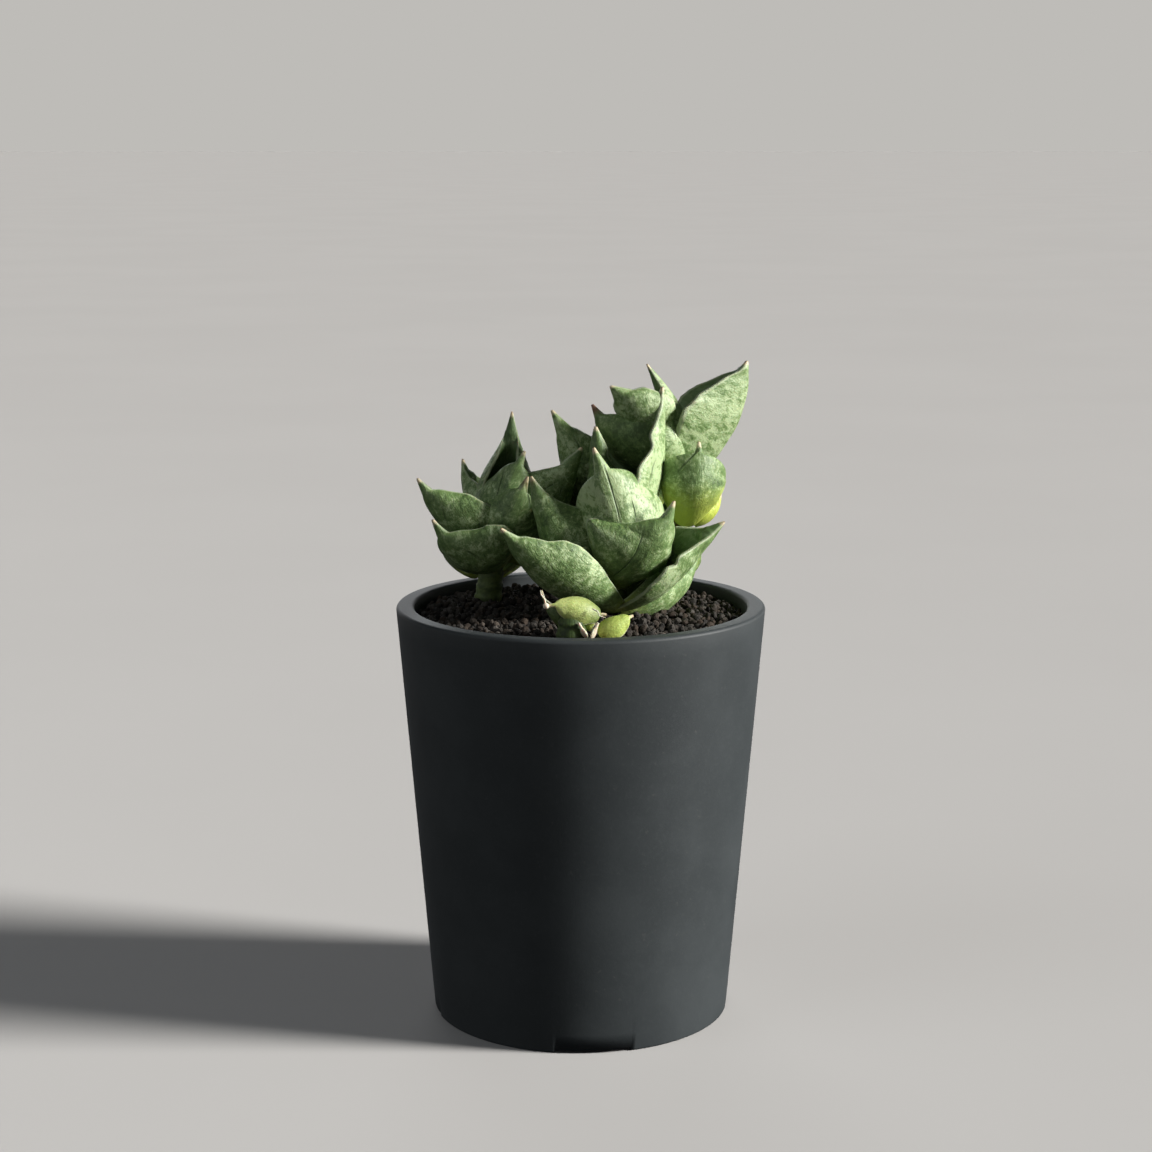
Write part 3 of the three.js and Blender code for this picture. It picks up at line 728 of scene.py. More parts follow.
# %% Right rosette
RIGHT_ROSETTE = {
    "leaf_right_7": dict(
        root=(30.5, 8, 139.5), tip=(33.5, 2, 165), faces=(0.2, -1, 0), width=30, bow=(6, 8.4),
        sway=-0.3, cup=78, base=0.35, peak=0.75, blunt=0.15, beak=(0.3, 0, 1.5), point=2.4, horn=2,
        creases=(((0.8, -0.34), (0.94, -0.3)),), tint=(0.4, 10, 0),
    ),
    "leaf_right_1": dict(
        root=(30, 16, 149.5), tip=(48, 16, 186.5), faces=(1, 0.05, -0.4), width=23, bow=(4.6, 5.8),
        cup=30, fold=1.3, blunt=0.6, beak=(0, 0, 0.8), point=1.6, horn=1.8, tint=(0.75, 0, 0),
    ),
    "leaf_right_8": dict(
        root=(33, 12, 139), tip=(40.7, 13.5, 149), faces=(0.8, -0.5, -0.3), width=13, bow=(2, 2),
        tint=(0.6, 30, 0),
    ),
    "leaf_right_2": dict(
        root=(25, 18, 162), tip=(8.2, 4, 180.4), faces=(-0.3, -0.7, -0.6), width=26.5, bow=(6, 6),
        sway=2, base=0.4, peak=0.55, blunt=0.42, beak=(-0.6, 0, -1), point=5, horn=5.2,
        tint=(0.6, 0, 0),
    ),
    "leaf_right_3": dict(
        root=(28.5, 14, 151), tip=(19, 13, 186), faces=(0.93, 0.38, 0.1), width=34, bow=(6, 7),
        cup=112, fold=0.1, base=0.4, peak=0.5, beak=(-1, 0, 3), point=4.5, horn=3.8,
        creases=(((0.43, -0.66), (0.59, -0.69)),), tint=(0.65, 0, 0),
    ),
    "leaf_right_5": dict(
        root=(21.5, 16, 152), tip=(3, 10, 174.5), faces=(-0.6, -0.6, -0.5), width=31, bow=(5, 5),
        sway=4, cup=75, blunt=0.55, point=3, horn=2.4, tint=(0.2, 0, 1),
    ),
    "leaf_right_9": dict(
        root=(32, 20, 142), tip=(35, 38, 161), faces=(0.3, 0.9, -0.3), width=22,
    ),
    "leaf_right_10": dict(
        root=(24, 20, 142), tip=(14, 38, 162), faces=(-0.4, 0.9, -0.3), width=22,
    ),
    "leaf_right_4": dict(
        root=(26, 15, 123), tip=(34, 30, 134), faces=(0.6, 0.5, -0.6), width=24, bow=(5, 4),
    ),
    "leaf_right_6": dict(
        root=(23, 13, 128), tip=(24, 34, 149), faces=(0.1, 0.9, -0.5), width=22, bow=(5, 4),
    ),
}

grow_all("right rosette", RIGHT_ROSETTE, leaf_skin_grown)

# %% [markdown]
# ## The left rosette
# A wide, low shoot in the shade of the plant. One of its inner leaves is rolled almost shut, so
# its pale margins frame the dark of the channel.

# %% Left rosette
LEFT_ROSETTE = {
    "leaf_left_6": dict(
        root=(-23, 12, 127), tip=(-42, -4, 143.5), faces=(-0.35, -0.75, -0.65), width=35,
        bow=(7, 7), sway=3.5, base=0.4, blunt=0.48, beak=(0, 0, 3), point=3.6, horn=3,
        creases=(((0.54, 0.31), (0.67, 0.31)),), tint=(0.35, 0, 0),
    ),
    "leaf_left_5": dict(
        root=(-24, 16, 128), tip=(-47, 8, 153.5), faces=(-0.5, -0.65, -0.6), width=30, bow=(6, 5),
        sway=4, base=0.4, blunt=0.5, beak=(-0.5, 0, 3), point=3.6, horn=2.9,
        creases=(((0.66, 0.15), (0.75, 0.31)),), tint=(0.35, 0, 0),
    ),
    "leaf_left_3": dict(
        root=(-22, 12, 128.5), tip=(-15, 2, 155), faces=(-0.1, -1, -0.1), width=27, bow=(6, 6),
        sway=-3, blunt=0.42, beak=(0, 0, 2.5), point=3, horn=2.3,
        creases=(((0.84, 0.45), (0.93, 0.5)),), tint=(0.3, 0, 0.6),
    ),
    "leaf_left_2": dict(
        root=(-24.5, 14, 129), tip=(-16, 8, 161.5), faces=(-0.3, -0.95, -0.1), width=30, bow=(6, 7),
        sway=-2, cup=85, blunt=0.45, beak=(0.5, 0, 2.5), point=3, horn=2.3,
        creases=(((0.62, -0.12), (0.86, -0.44)),), tint=(0.3, 0, 0),
    ),
    "leaf_left_7": dict(
        root=(-17, 17, 126.5), tip=(0.5, 8, 162.5), faces=(0.5, -0.75, -0.5), width=29, bow=(4, 3),
        peak=0.6, base=0.35, sway=-3,
        creases=(((0.68, -0.4), (0.72, -0.34)), ((0.66, -0.07), (0.72, -0.11))), tint=(0.4, 0, 0),
    ),
    "leaf_left_4": dict(
        root=(-27, 22, 130), tip=(-35, 28, 156.5), faces=(-0.9, 0.3, 0), width=24, bow=(2, 2.5),
        cup=88, base=0.4, blunt=0.55, point=2.6, horn=2.2,
    ),
    "leaf_left_1": dict(
        root=(-22, 22, 127), tip=(-20, 24, 171), faces=(0.15, 1, 0), width=42, bow=(3, 4), cup=135,
        peak=0.42, blunt=0.75, beak=(0, 0, 3), point=4, horn=3.7,
    ),
    "leaf_left_8": dict(
        root=(-25, 21, 122), tip=(-12, 37, 143), faces=(0.5, 0.8, -0.4), width=20,
    ),
    "leaf_left_9": dict(
        root=(-31, 21, 122), tip=(-42, 31, 140), faces=(-0.6, 0.6, -0.5), width=18,
    ),
}

grow_all("left rosette", LEFT_ROSETTE, leaf_skin_grown)

# %% [markdown]
# ## The middle rosette
# The shoot at the back shows one leaf between the others. The rest of it is what such a shoot has,
# and it is seen only from the sides and from behind.

# %% Middle rosette
MIDDLE_ROSETTE = {
    "leaf_middle_1": dict(
        root=(6, 24, 136), tip=(-8.5, 18, 172), faces=(-0.25, -0.95, 0), width=29, bow=(6, 7),
        sway=5, base=0.3, blunt=0.6, beak=(-1, 0, 3), point=4.8, horn=3.7,
        creases=(((0.74, 0.25), (0.8, 0.31)),), tint=(0.55, 0, 0),
    ),
    "leaf_middle_2": dict(
        root=(0, 25, 121), tip=(-14, 40, 147), faces=(-0.6, 0.7, -0.4), width=24, bow=(5, 5),
    ),
    "leaf_middle_4": dict(
        root=(6, 25, 122), tip=(17, 42, 146), faces=(0.5, 0.8, -0.4), width=22, bow=(5, 5),
    ),
    "leaf_middle_3": dict(
        root=(4, 27, 121), tip=(2, 46, 146), faces=(0, 1, -0.4), width=24, bow=(5, 5),
    ),
    "leaf_middle_5": dict(
        root=(-2, 24, 131), tip=(-3, 29, 157), faces=(-0.1, 0.9, 0.1), width=22, bow=(3, 3), cup=95,
    ),
}

grow_all("middle rosette", MIDDLE_ROSETTE, leaf_skin_grown)

# %% [markdown]
# ## The pups
# Young shoots push up beside the front rosette. They are the same boat shapes in little, fat and
# yellow-green, so they use the same function with another skin; the larger bud's skin has a
# grey-green painted shadow at its root end. One small dark leaf stands by them.

# %% Pups
PUPS = {
    "pup_left_1": dict(
        root=(5.4, -37.5, 123.6), tip=(-9.2, -40.5, 126.2), faces=(-0.05, -0.75, 0.65), width=12,
        bow=(2.4, 2.4), sway=0.4, blunt=0.4, base=0.6, beak=(-1, 0, 0.1), point=2, horn=0.9,
        # Its root's five millimetres take the bud skin's painted shadow.
        thick=2.4, tint=(0.6, 5, 0),
    ),
    "pup_left_2": dict(
        root=(-1, -34.5, 120), tip=(7, -37.6, 123.2), faces=(0.2, -0.7, 0.7), width=9.5, bow=(2, 2),
        blunt=0.6, beak=(0.8, 0, -0.2), point=1.6, horn=0.7,
    ),
    "pup_right_1": dict(
        root=(4.8, -39.6, 118), tip=(14.2, -37, 122.8), faces=(-0.2, -0.9, 0.5), width=9,
        bow=(1.6, 1.3), blunt=0.35, base=0.7, beak=(0.3, 0, 0), point=1.4, horn=0.7,
    ),
    "pup_dark": dict(
        root=(-4.6, -36, 118.4), tip=(-11, -34.5, 129), faces=(-0.8, -0.5, 0), width=7,
        bow=(1.5, 1.2), beak=(-0.4, 0, 0.6), point=1.8, horn=0.6,
    ),
}

PUP_FINISH = {
    "pup_left_1": (leaf_skin_bud, "young_leaf"),
    "pup_left_2": (leaf_skin_young, "young_leaf"),
    "pup_right_1": (leaf_skin_young, "young_leaf"),
    "pup_dark": (leaf_skin_dark, "dark_leaf"),
}
for name, leaf in PUPS.items():
    grow_leaf(name, leaf, *PUP_FINISH[name])
print("pups:", len(PUPS), "leaves")

# %% [markdown]
# ## The dry sheaths
# A pup breaks through a papery scale, which dries to cream and stays at its foot. It is thin, with
# fine veins along it, and lets a little light through. The same leaf function with a thin keel
# gives its shape. Only the finish differs: ribs run along it, brown stains lie on it, and its rim
# is paler.

# %% Sheath finish
def papery(name):
    paper, shader, start = new_finish(name, Subsurface_Weight=0.15, Subsurface_Scale=0.001)
    place, (across, along, _) = painted(start, "leaf_place")
    _, (_, from_margin, _) = painted(start, "leaf_part")
    veins = noise(stretch(place, (4.5, 0.25, 1)), 1.0, 3)
    stains = noise(place, 0.5, 4)
    colour = mix(veins.smooth(0.42, 0.7) * 0.6, srgb(232, 222, 194), srgb(186, 166, 124))
    colour = mix(stains.smooth(0.52, 0.72) * 0.6, colour, srgb(150, 116, 76))
    colour = mix(from_margin.smooth(0.45, 0.1) * 0.5, colour, srgb(246, 240, 222))
    feed(shader, Base_Color=colour, Roughness=0.62 + veins * 0.25, Normal=bump(veins + stains, 0.0002, 0.7))
    return paper


sheath_paper = papery("dry_paper")
print("sheath finish ready")

# %% Sheaths
SHEATHS = {
    "sheath_left": dict(
        root=(1.8, -41.4, 116.8), tip=(-0.9, -42.6, 121.4), faces=(-0.9, -0.45, 0), width=3.2,
        bow=(0.5, 0.4), cup=40, thick=0.8, edge=0.7, point=1.2, horn=0.5, beak=(-0.4, 0, 0),
        wave=0.15,
    ),
    "sheath_right": dict(
        root=(2.9, -41.8, 116.8), tip=(5, -42, 121.6), faces=(0.9, -0.45, 0), width=3.2,
        bow=(0.5, 0.4), cup=50, thick=0.8, edge=0.7, point=1.2, horn=0.5, beak=(0.3, 0, 0),
        wave=0.15,
    ),
}

grow_all("sheaths", SHEATHS, sheath_paper, "dry_sheath")

# %% [markdown]
# ## The stems
# Each rosette stands on a short fleshy stem, which runs straight down into the soil. Old leaves
# leave rings round it. The stems' green is painted dark, as shade under the leaves, and the pups'
# stems darkest. A lathe would make it too even, so rings of points follow the stem's bent line,
# with the imported solid's few radii and more rows.

# %% Stem finish
def stem_skin(name, pale, green):
    constants = dict(Coat_Roughness=0.4, Subsurface_Weight=0.06, Subsurface_Scale=0.002)
    skin, shader, start = new_finish(name, **constants)
    place, (around, up, _) = painted(start, "stem_place")
    clouds = noise(stretch(place, (0.3, 0.5, 1)), 1.0, 4)
    fibres = noise(stretch(place, (2.2, 0.2, 1)), 1.0, 3)
    colour = mix(clouds.smooth(0.4, 0.62), pale, green)
    colour = mix((up + clouds * 4).smooth(5, 2) * 0.4, colour, srgb(92, 84, 54))
    colour = mix(fibres.smooth(0.52, 0.75) * 0.4, colour, green)
    relief = fibres * 0.6 + clouds * 0.4
    feed(shader, Base_Color=colour, Roughness=0.5 + fibres * 0.2, Normal=bump(relief, 0.0003, 0.7))
    return skin


# Both stem skins are painted darker than a stem's own green, as shade under the leaves, the pups' darkest.
stem_green = stem_skin("stem_skin", pale=srgb(100, 118, 64), green=srgb(70, 88, 44))
pup_stem_shade = stem_skin("pup_stem_shaded_skin", pale=srgb(70, 92, 36), green=srgb(42, 60, 22))
print("stem finishes ready")

# %% Stems
SOIL_TOP = 115.6  # mm, at the pot's wall
SOIL_MOUND = 1.6  # how much higher it is in the middle
SOIL_RADIUS = 47.0
SOIL_GRAIN = 1.1
HOLE_DEPTH = 24
STEMS = {
    "stem_front": dict(foot=(10, -3.5), head=(10, -4, 124), radius=4.2),
    "stem_left": dict(foot=(-27, 17), head=(-25, 16.5, 134), radius=4),
    "stem_right": dict(foot=(24, 11), head=(29, 14, 153), radius=4.2),
    "stem_middle": dict(foot=(3, 24), head=(4, 24.5, 139), radius=4.2),
    "stem_pup_left": dict(foot=(-2.4, -38.5), head=(-2.5, -38.5, 123.6), radius=4.3),
    "stem_pup_right": dict(foot=(6.5, -37), head=(6.8, -37, 118.5), radius=2.2),
}
STEM_SIDES = 40
STEM_ROWS = 60
STEM_LIFT = 0.3  # mm clear of the hole's bottom
STEM_GIRTH = (0.55, 0.9, 1, 0.85, 0.65, 0.4)  # shares of the radius at six places, foot to head
LEAF_SCARS = ((0.035, 1.9), (0.02, 3.7))  # rings: depth as a share of the radius, radians to the mm


def soil_height(radius):
    return SOIL_TOP + SOIL_MOUND * (1 - (radius / SOIL_RADIUS) ** 2)


def tube(rows):
    """Quads between rings of points, with a fan at each end."""
    count, sides = rows.shape[:2]
    faces = ring_quads(count, sides).tolist()
    faces.append(list(range(sides))[::-1])
    faces.append([(count - 1) * sides + i for i in range(sides)])
    return rows.reshape(-1, 3), faces


def grow_stem(name, foot, head, radius):
    base = np.array([*foot, SOIL_TOP - HOLE_DEPTH + STEM_LIFT])
    collar = np.array([*foot, soil_height(math.hypot(*foot)) + SOIL_GRAIN])
    end = np.array(head, float)
    shoulder = collar + (end - collar) * 0.6
    neck = end + (shoulder - end) * 0.25
    line = np.array([base, base + (collar - base) * 0.12, collar, shoulder, neck, end])
    reach = np.concatenate([[0], np.cumsum(np.linalg.norm(np.diff(line, axis=0), axis=1))])
    at = np.linspace(0, reach[-1], STEM_ROWS)
    middle = np.stack([np.interp(at, reach, line[:, i]) for i in range(3)], -1)
    random = seeded(name)
    (deep, wide), (shallow, narrow) = LEAF_SCARS
    rings = deep * np.sin(at * wide + random.random() * 6) + shallow * np.sin(at * narrow)
    above_soil = soft_step(HOLE_DEPTH - 2, HOLE_DEPTH + 1, at)
    thick = radius * (np.interp(at, reach, STEM_GIRTH) + rings * above_soil)
    angle = np.linspace(0, 2 * math.pi, STEM_SIDES, endpoint=False)
    spokes = np.stack([np.cos(angle), np.sin(angle), 0 * angle], -1)
    rows = middle[:, None] + thick[:, None, None] * spokes
    points, faces = tube(rows)
    # The pups' stems take the darker painted shade.
    skin = pup_stem_shade if "pup" in name else stem_green
    piece = new_piece(name + "_grown", points, faces, skin, "stem", [name])
    around = np.broadcast_to(angle * radius, rows.shape[:2])
    place = np.stack([around, rows[..., 2] - SOIL_TOP, 0 * around], -1)
    say(piece, "stem_place", place)


for name, stem in STEMS.items():
    grow_stem(name, **stem)
print("stems:", len(STEMS))

# %% [markdown]
# Dried threads of the scale cling to both ends of the larger pup, and a bead of dried sap sits on
# its point. A thread is thinner than a millimetre, so rings along a bent line are enough.

# %% Threads and bead
THREADS = {
    "thread_left": (
        [(-9.4, -40.8, 126.6), (-9.7, -41, 128), (-10.6, -41, 129.2), (-10.8, -41, 130.4)], 0.28
    ),
    "thread_right": (
        [(3.2, -41.4, 125.4), (4.6, -42, 124.8), (5, -42, 123.6), (6.6, -41.8, 123.1)], 0.22
    ),
}
BEAD = dict(middle=(-9.3, -40.9, 126.1), radius=0.85)
RING_SIDES = 12
THREAD_ROWS = 24
THREAD_END = 0.4  # its thickness at the end, as a share of the start's
BEAD_ROWS = 14
BEAD_POLE = 0.02  # radians left open at both poles
ASIDE = (0.1, 0.9, 0.2)  # a direction that no thread follows, which the rings are turned by


def grow_rings(name, middle, thick):
    """A closed skin round a line of places, each with its own thickness."""
    way = unit(np.gradient(middle, axis=0))
    side = unit(np.cross(way, ASIDE))
    up = np.cross(side, way)
    angle = np.linspace(0, 2 * math.pi, RING_SIDES, endpoint=False)[None, :, None]
    spokes = side[:, None] * np.cos(angle) + up[:, None] * np.sin(angle)
    rows = middle[:, None] + thick[:, None, None] * spokes
    points, faces = tube(rows)
    piece = new_piece(name, points, faces, sheath_paper, "dry_sheath")
    say(piece, "leaf_place", points)
    say(piece, "leaf_part", 0 * points)


for name, (places, radius) in THREADS.items():
    knots = np.array(places, float)
    at = np.linspace(0, len(knots) - 1, THREAD_ROWS)
    line = np.stack([np.interp(at, range(len(knots)), column) for column in knots.T], -1)
    grow_rings(name, line, radius * np.linspace(1, THREAD_END, len(at)))
turn = np.linspace(BEAD_POLE, math.pi - BEAD_POLE, BEAD_ROWS)
bead_line = np.array(BEAD["middle"]) + BEAD["radius"] * np.stack([0 * turn, 0 * turn, -np.cos(turn)], -1)
grow_rings("sap_bead", bead_line, BEAD["radius"] * np.sin(turn))
print("threads:", len(THREADS), "and a bead")

# %% [markdown]
# ## The pot
# The pot is moulded in matt charcoal plastic. It tapers towards its foot, its rim is rounded over,
# and it stands on a thin ring with four shallow notches that let water out from under it.
#
# One outline turned round the axis makes it. The rim's highlight runs round a curve of about a
# millimetre, so that curve gets ten points, while the tall wall needs only a few rows. The
# notches are lifted straight into the ring. The four drain holes are cut with a Boolean modifier.

# %% Pot finish
def charcoal_plastic(name):
    plastic, shader, start = new_finish(name, Specular_IOR_Level=0.42)
    place = start.node("TexCoord", None, None, "Object")
    grain = noise(place, 5200, 2)
    dapple = noise(place, 900, 4, 0.6)
    clouds = noise(place, 38, 4, 0.6)
    dust = noise(place, 420, 5, 0.7).smooth(0.62, 0.78)
    colour = mix(clouds.smooth(0.35, 0.7), srgb(50, 55, 57), srgb(58, 63, 65))
    colour = mix(dapple.smooth(0.5, 0.75) * 0.25, colour, srgb(68, 73, 74))
    colour = mix(dust * 0.22, colour, srgb(120, 118, 112))
    relief = grain * 0.5 + dapple * 0.6
    feed(
        shader,
        Base_Color=colour,
        Roughness=0.5 + clouds * 0.08 + dapple * 0.08 + dust * 0.12,
        Normal=bump(relief, 0.00006, 0.6),
    )
    return plastic


pot_plastic = charcoal_plastic("charcoal_plastic")
print("pot finish ready")

# %% Pot outline
_, POT_HIGH = (np.array(corner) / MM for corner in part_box("pot"))
POT_HEIGHT = POT_HIGH[2]
RIM_RADIUS = POT_HIGH[0]
RIM_WIDTH = 5.1
TAPER = 9.85  # how much less the foot's radius is
WALL_LEANS = 4.8  # degrees
MOUTH_RADIUS = RIM_RADIUS - RIM_WIDTH
FOOT_RADIUS = RIM_RADIUS - TAPER
WALL = 3.6
FLOOR_TOP = 6.0
RIM_ROUND = 1.1
FOOT_ROUND = 0.6
FOOT_RING = dict(width=5.0, height=2.0)
NOTCH = dict(count=4, width=21.8, height=1.0, first=-85.3)
DRAIN = dict(count=4, radius=3.5, ring=20.0, first=45.0)
FLOOR_RING = 30  # radius of the points on the floor that lie outside the drain holes
AXIS = 0.01  # radius that is near enough to the axis


def arc(centre, radius, start, end, count):
    """Points of an arc in the outline's plane, its angles in degrees."""
    angles = np.radians(np.linspace(start, end, count))
    return [(centre[0] + radius * math.cos(a), centre[1] + radius * math.sin(a)) for a in angles]


def straight(start, end, count):
    """The points between two others, without the ends."""
    return [tuple(np.array(start) + (np.array(end) - start) * i / count) for i in range(1, count)]


def pot_outline():
    """Radius and height from the ring's inner foot up the outside, over the rim and down to the axis."""
    ring_inside = FOOT_RADIUS - FOOT_RING["width"]
    foot = arc((FOOT_RADIUS - FOOT_ROUND, FOOT_ROUND), FOOT_ROUND, -90, 0, 6)
    rim_out = arc((RIM_RADIUS - RIM_ROUND, POT_HEIGHT - RIM_ROUND), RIM_ROUND, WALL_LEANS, 90, 10)
    rim_in = arc((MOUTH_RADIUS + RIM_ROUND, POT_HEIGHT - RIM_ROUND), RIM_ROUND, 90, 180, 10)
    inside = (FOOT_RADIUS - WALL, FLOOR_TOP + 1)
    points = [(ring_inside, 0), *foot, *straight(foot[-1], rim_out[0], 24), *rim_out, *rim_in]
    points += [*straight(rim_in[-1], inside, 12), inside, (inside[0] - 1, FLOOR_TOP)]
    points += [(FLOOR_RING, FLOOR_TOP), (AXIS, FLOOR_TOP)]
    points += [(AXIS, FOOT_RING["height"]), (FLOOR_RING, FOOT_RING["height"])]
    return np.array([*points, (ring_inside, FOOT_RING["height"])])


print("outline:", len(pot_outline()), "points")


# %% Pot
def pot_angles(count=240):
    """Even angles all round, and a close pair at each side of each notch."""
    angles = list(np.linspace(-180, 180, count, endpoint=False))
    half = math.degrees(math.asin(NOTCH["width"] / 2 / FOOT_RADIUS))
    for i in range(NOTCH["count"]):
        middle = NOTCH["first"] + 360 / NOTCH["count"] * i
        for edge in (middle - half, middle + half):
            angles += [edge - 0.06, edge + 0.06]
    return np.radians(np.unique(np.round((np.array(angles) + 180) % 360 - 180, 4)))


def in_notch(angles):
    half = math.asin(NOTCH["width"] / 2 / FOOT_RADIUS)
    turn = 2 * math.pi / NOTCH["count"]
    away = (angles - math.radians(NOTCH["first"]) + turn / 2) % turn - turn / 2
    return np.abs(away) < half


def cut(piece, cutters):
    """Takes the cutters' shape out of the piece, and removes them."""
    for cutter in cutters:
        modifier = piece.modifiers.new("hole", "BOOLEAN")
        modifier.operation = "DIFFERENCE"
        modifier.object = cutter
        modifier.solver = "EXACT"
    graph = bpy.context.evaluated_depsgraph_get()
    made = bpy.data.meshes.new_from_object(piece.evaluated_get(graph))
    piece.modifiers.clear()
    piece.data = made
    for cutter in cutters:
        bpy.data.objects.remove(cutter)


def drain_cutter(index):
    angle = math.radians(DRAIN["first"] + 360 / DRAIN["count"] * index)
    turn = np.linspace(0, 2 * math.pi, 36, endpoint=False)
    ring = np.stack([np.cos(turn), np.sin(turn), 0 * turn], -1) * DRAIN["radius"]
    ring = ring + DRAIN["ring"] * np.array([math.cos(angle), math.sin(angle), 0])
    points, faces = tube(np.stack([ring, ring + [0, 0, FLOOR_TOP + 2]]) - [0, 0, 1])
    return new_object("drain_cutter", points, faces)


angles = pot_angles()
outline = pot_outline()
spokes = np.stack([np.cos(angles), np.sin(angles)], -1)
pot_points = np.concatenate(
    [
        outline[:, None, :1] * spokes[None],
        np.broadcast_to(outline[:, None, 1:], (len(outline), len(angles), 1)),
    ],
    -1,
)
raised = in_notch(angles)[None] & (pot_points[..., 2] < NOTCH["height"])
pot_points[..., 2] = np.where(raised, NOTCH["height"], pot_points[..., 2])
pot_faces = ring_quads(*pot_points.shape[:2], closed=True)
pot = new_piece("pot_moulded", pot_points.reshape(-1, 3), pot_faces, pot_plastic, "pot", ["pot"])
cut(pot, [drain_cutter(i) for i in range(DRAIN["count"])])
print("pot:", len(pot.data.polygons), "faces")

# %% [markdown]
# ## The soil
# The potting soil is dark, dry and granular: lumps of one and a half to three millimetres lie on
# each other in a low mound, some browner and some greyer. A bumpy surface alone would look like
# tarmac, because its lumps can't overlap. So real grains are strewn over a plain bed. They come
# from fourteen seeded lumps, turned and scaled at random, and each stores its own tone.

# %% Soil finish
def crumbly(name):
    crumbs, shader, start = new_finish(name, Specular_IOR_Level=0.25)
    place = start.node("TexCoord", None, None, "Object")
    _, (tone, warmth, _) = painted(start, "grain_tone")
    rough = noise(place, 2600, 4, 0.65)
    fine = noise(place, 7000, 2)
    colour = mix(tone, srgb(38, 36, 34), srgb(82, 78, 73))
    colour = mix(warmth * 0.5, colour, srgb(78, 62, 48))
    colour = mix(rough.smooth(0.55, 0.75) * 0.4, colour, srgb(104, 100, 93))
    relief = rough + fine * 0.4
    feed(shader, Base_Color=colour, Roughness=0.86 + rough * 0.12, Normal=bump(relief, 0.00025, 0.9))
    return crumbs


soil_crumbs = crumbly("soil_crumbs")
print("soil finish ready")

# %% Soil bed
BED_RINGS = 30
BED_SIDES = 144
BED_SINKS = 0.9  # mm, so that the grains' middles lie at the soil's own height
BED_CLEARS = 0.4  # mm, the wall at the top
BED_CLEARS_FOOT = 1.3
SOIL_BOTTOM = FLOOR_TOP + 0.3


def soil_bed():
    """A plug that fills the pot under the grains: a mound above, a cone round it and a flat base."""
    shares = np.linspace(0.02, 1, BED_RINGS)
    rings = [(SOIL_RADIUS - BED_CLEARS) * share for share in shares]
    heights = [soil_height(radius) - BED_SINKS for radius in rings]
    base = FOOT_RADIUS - WALL - BED_CLEARS_FOOT
    profile = [*zip(rings, heights), (base, SOIL_BOTTOM), (0.5, SOIL_BOTTOM)]
    turn = np.linspace(0, 2 * math.pi, BED_SIDES, endpoint=False)
    rows = [np.stack([r * np.cos(turn), r * np.sin(turn), z + 0 * turn], -1) for r, z in profile[::-1]]
    return tube(np.array(rows))


bed_points, bed_faces = soil_bed()
bed = new_piece("soil_bed", bed_points, bed_faces, soil_crumbs, "soil", ["soil"])
say(bed, "grain_tone", np.tile((0.1, 0.1, 0), (len(bed_points), 1)))
print("bed:", len(bed_faces), "faces")

# %% One lump
LUMP_KINDS = 14
LUMP_SIDES = 7  # how many flat sides each has
KNOCKED_OFF = 0.85  # share of what stands out past a flat side
LEAST_SIZE = (0.85, 0.75, 0.6)
MOST_SIZE = (1.2, 1.0, 0.9)


def round_lump():
    """Points and triangles of a ball with 80 faces."""
    made = bpy.data.meshes.new("lump")
    ball = bmesh.new()
    bmesh.ops.create_icosphere(ball, subdivisions=2, radius=1)
    ball.to_mesh(made)
    ball.free()
    points = np.array([v.co[:] for v in made.vertices])
    faces = np.array([p.vertices[:] for p in made.polygons])
    bpy.data.meshes.remove(made)
    return points, faces


def broken(points, random):
    """The ball as a crumb: a few flat sides are knocked off it, and the rest is made uneven."""
    lump = points * random.uniform(0.86, 1.12, (len(points), 1))
    for _ in range(LUMP_SIDES):
        side = unit(random.normal(size=3))
        reach = random.uniform(0.62, 0.85)
        over = np.maximum(lump @ side - reach, 0)
        lump = lump - over[:, None] * side * KNOCKED_OFF
    return lump * random.uniform(LEAST_SIZE, MOST_SIZE)


ball_points, ball_faces = round_lump()
lump_source = seeded("lumps")
lumps = np.array([broken(ball_points, lump_source) for _ in range(LUMP_KINDS)])
print("lumps:", lumps.shape)

# %% Grains
GRAIN_SPACING = 2.2  # mm between neighbours
GRAIN_RADIUS = (0.7, 1.45)
GRAIN_SHIFT = 0.34  # how far it may lie off its place, as a share of the spacing
GRAIN_RISE = 0.35  # mm up or down
CLEAR_OF_WALL = 1.4
CLEAR_OF_STEM = 0.2
LAYERS = ((1.0, -0.55), (0.5, 0.35))  # share of the places that are filled, mm above the soil's height


def grain_places(random, keep, lift):
    """Jittered places on a triangular lattice, as far as the pot's wall and clear of the stems."""
    count = int(SOIL_RADIUS / GRAIN_SPACING) + 2
    i, j = np.meshgrid(np.arange(-count, count + 1), np.arange(-count * 2, count * 2 + 1))
    x = (i + (j % 2) / 2) * GRAIN_SPACING
    y = j * GRAIN_SPACING * math.sqrt(3) / 2
    place = np.stack([x.ravel(), y.ravel()], -1)
    place = place + random.uniform(-GRAIN_SHIFT, GRAIN_SHIFT, place.shape) * GRAIN_SPACING
    radius = np.hypot(place[:, 0], place[:, 1])
    wanted = (radius < SOIL_RADIUS - CLEAR_OF_WALL) & (random.random(len(place)) < keep)
    for stem in STEMS.values():
        away = np.hypot(place[:, 0] - stem["foot"][0], place[:, 1] - stem["foot"][1])
        wanted &= away > stem["radius"] + CLEAR_OF_STEM
    place, radius = place[wanted], radius[wanted]
    height = soil_height(radius) + lift + random.uniform(-GRAIN_RISE, GRAIN_RISE, len(place))
    return np.column_stack([place, height])


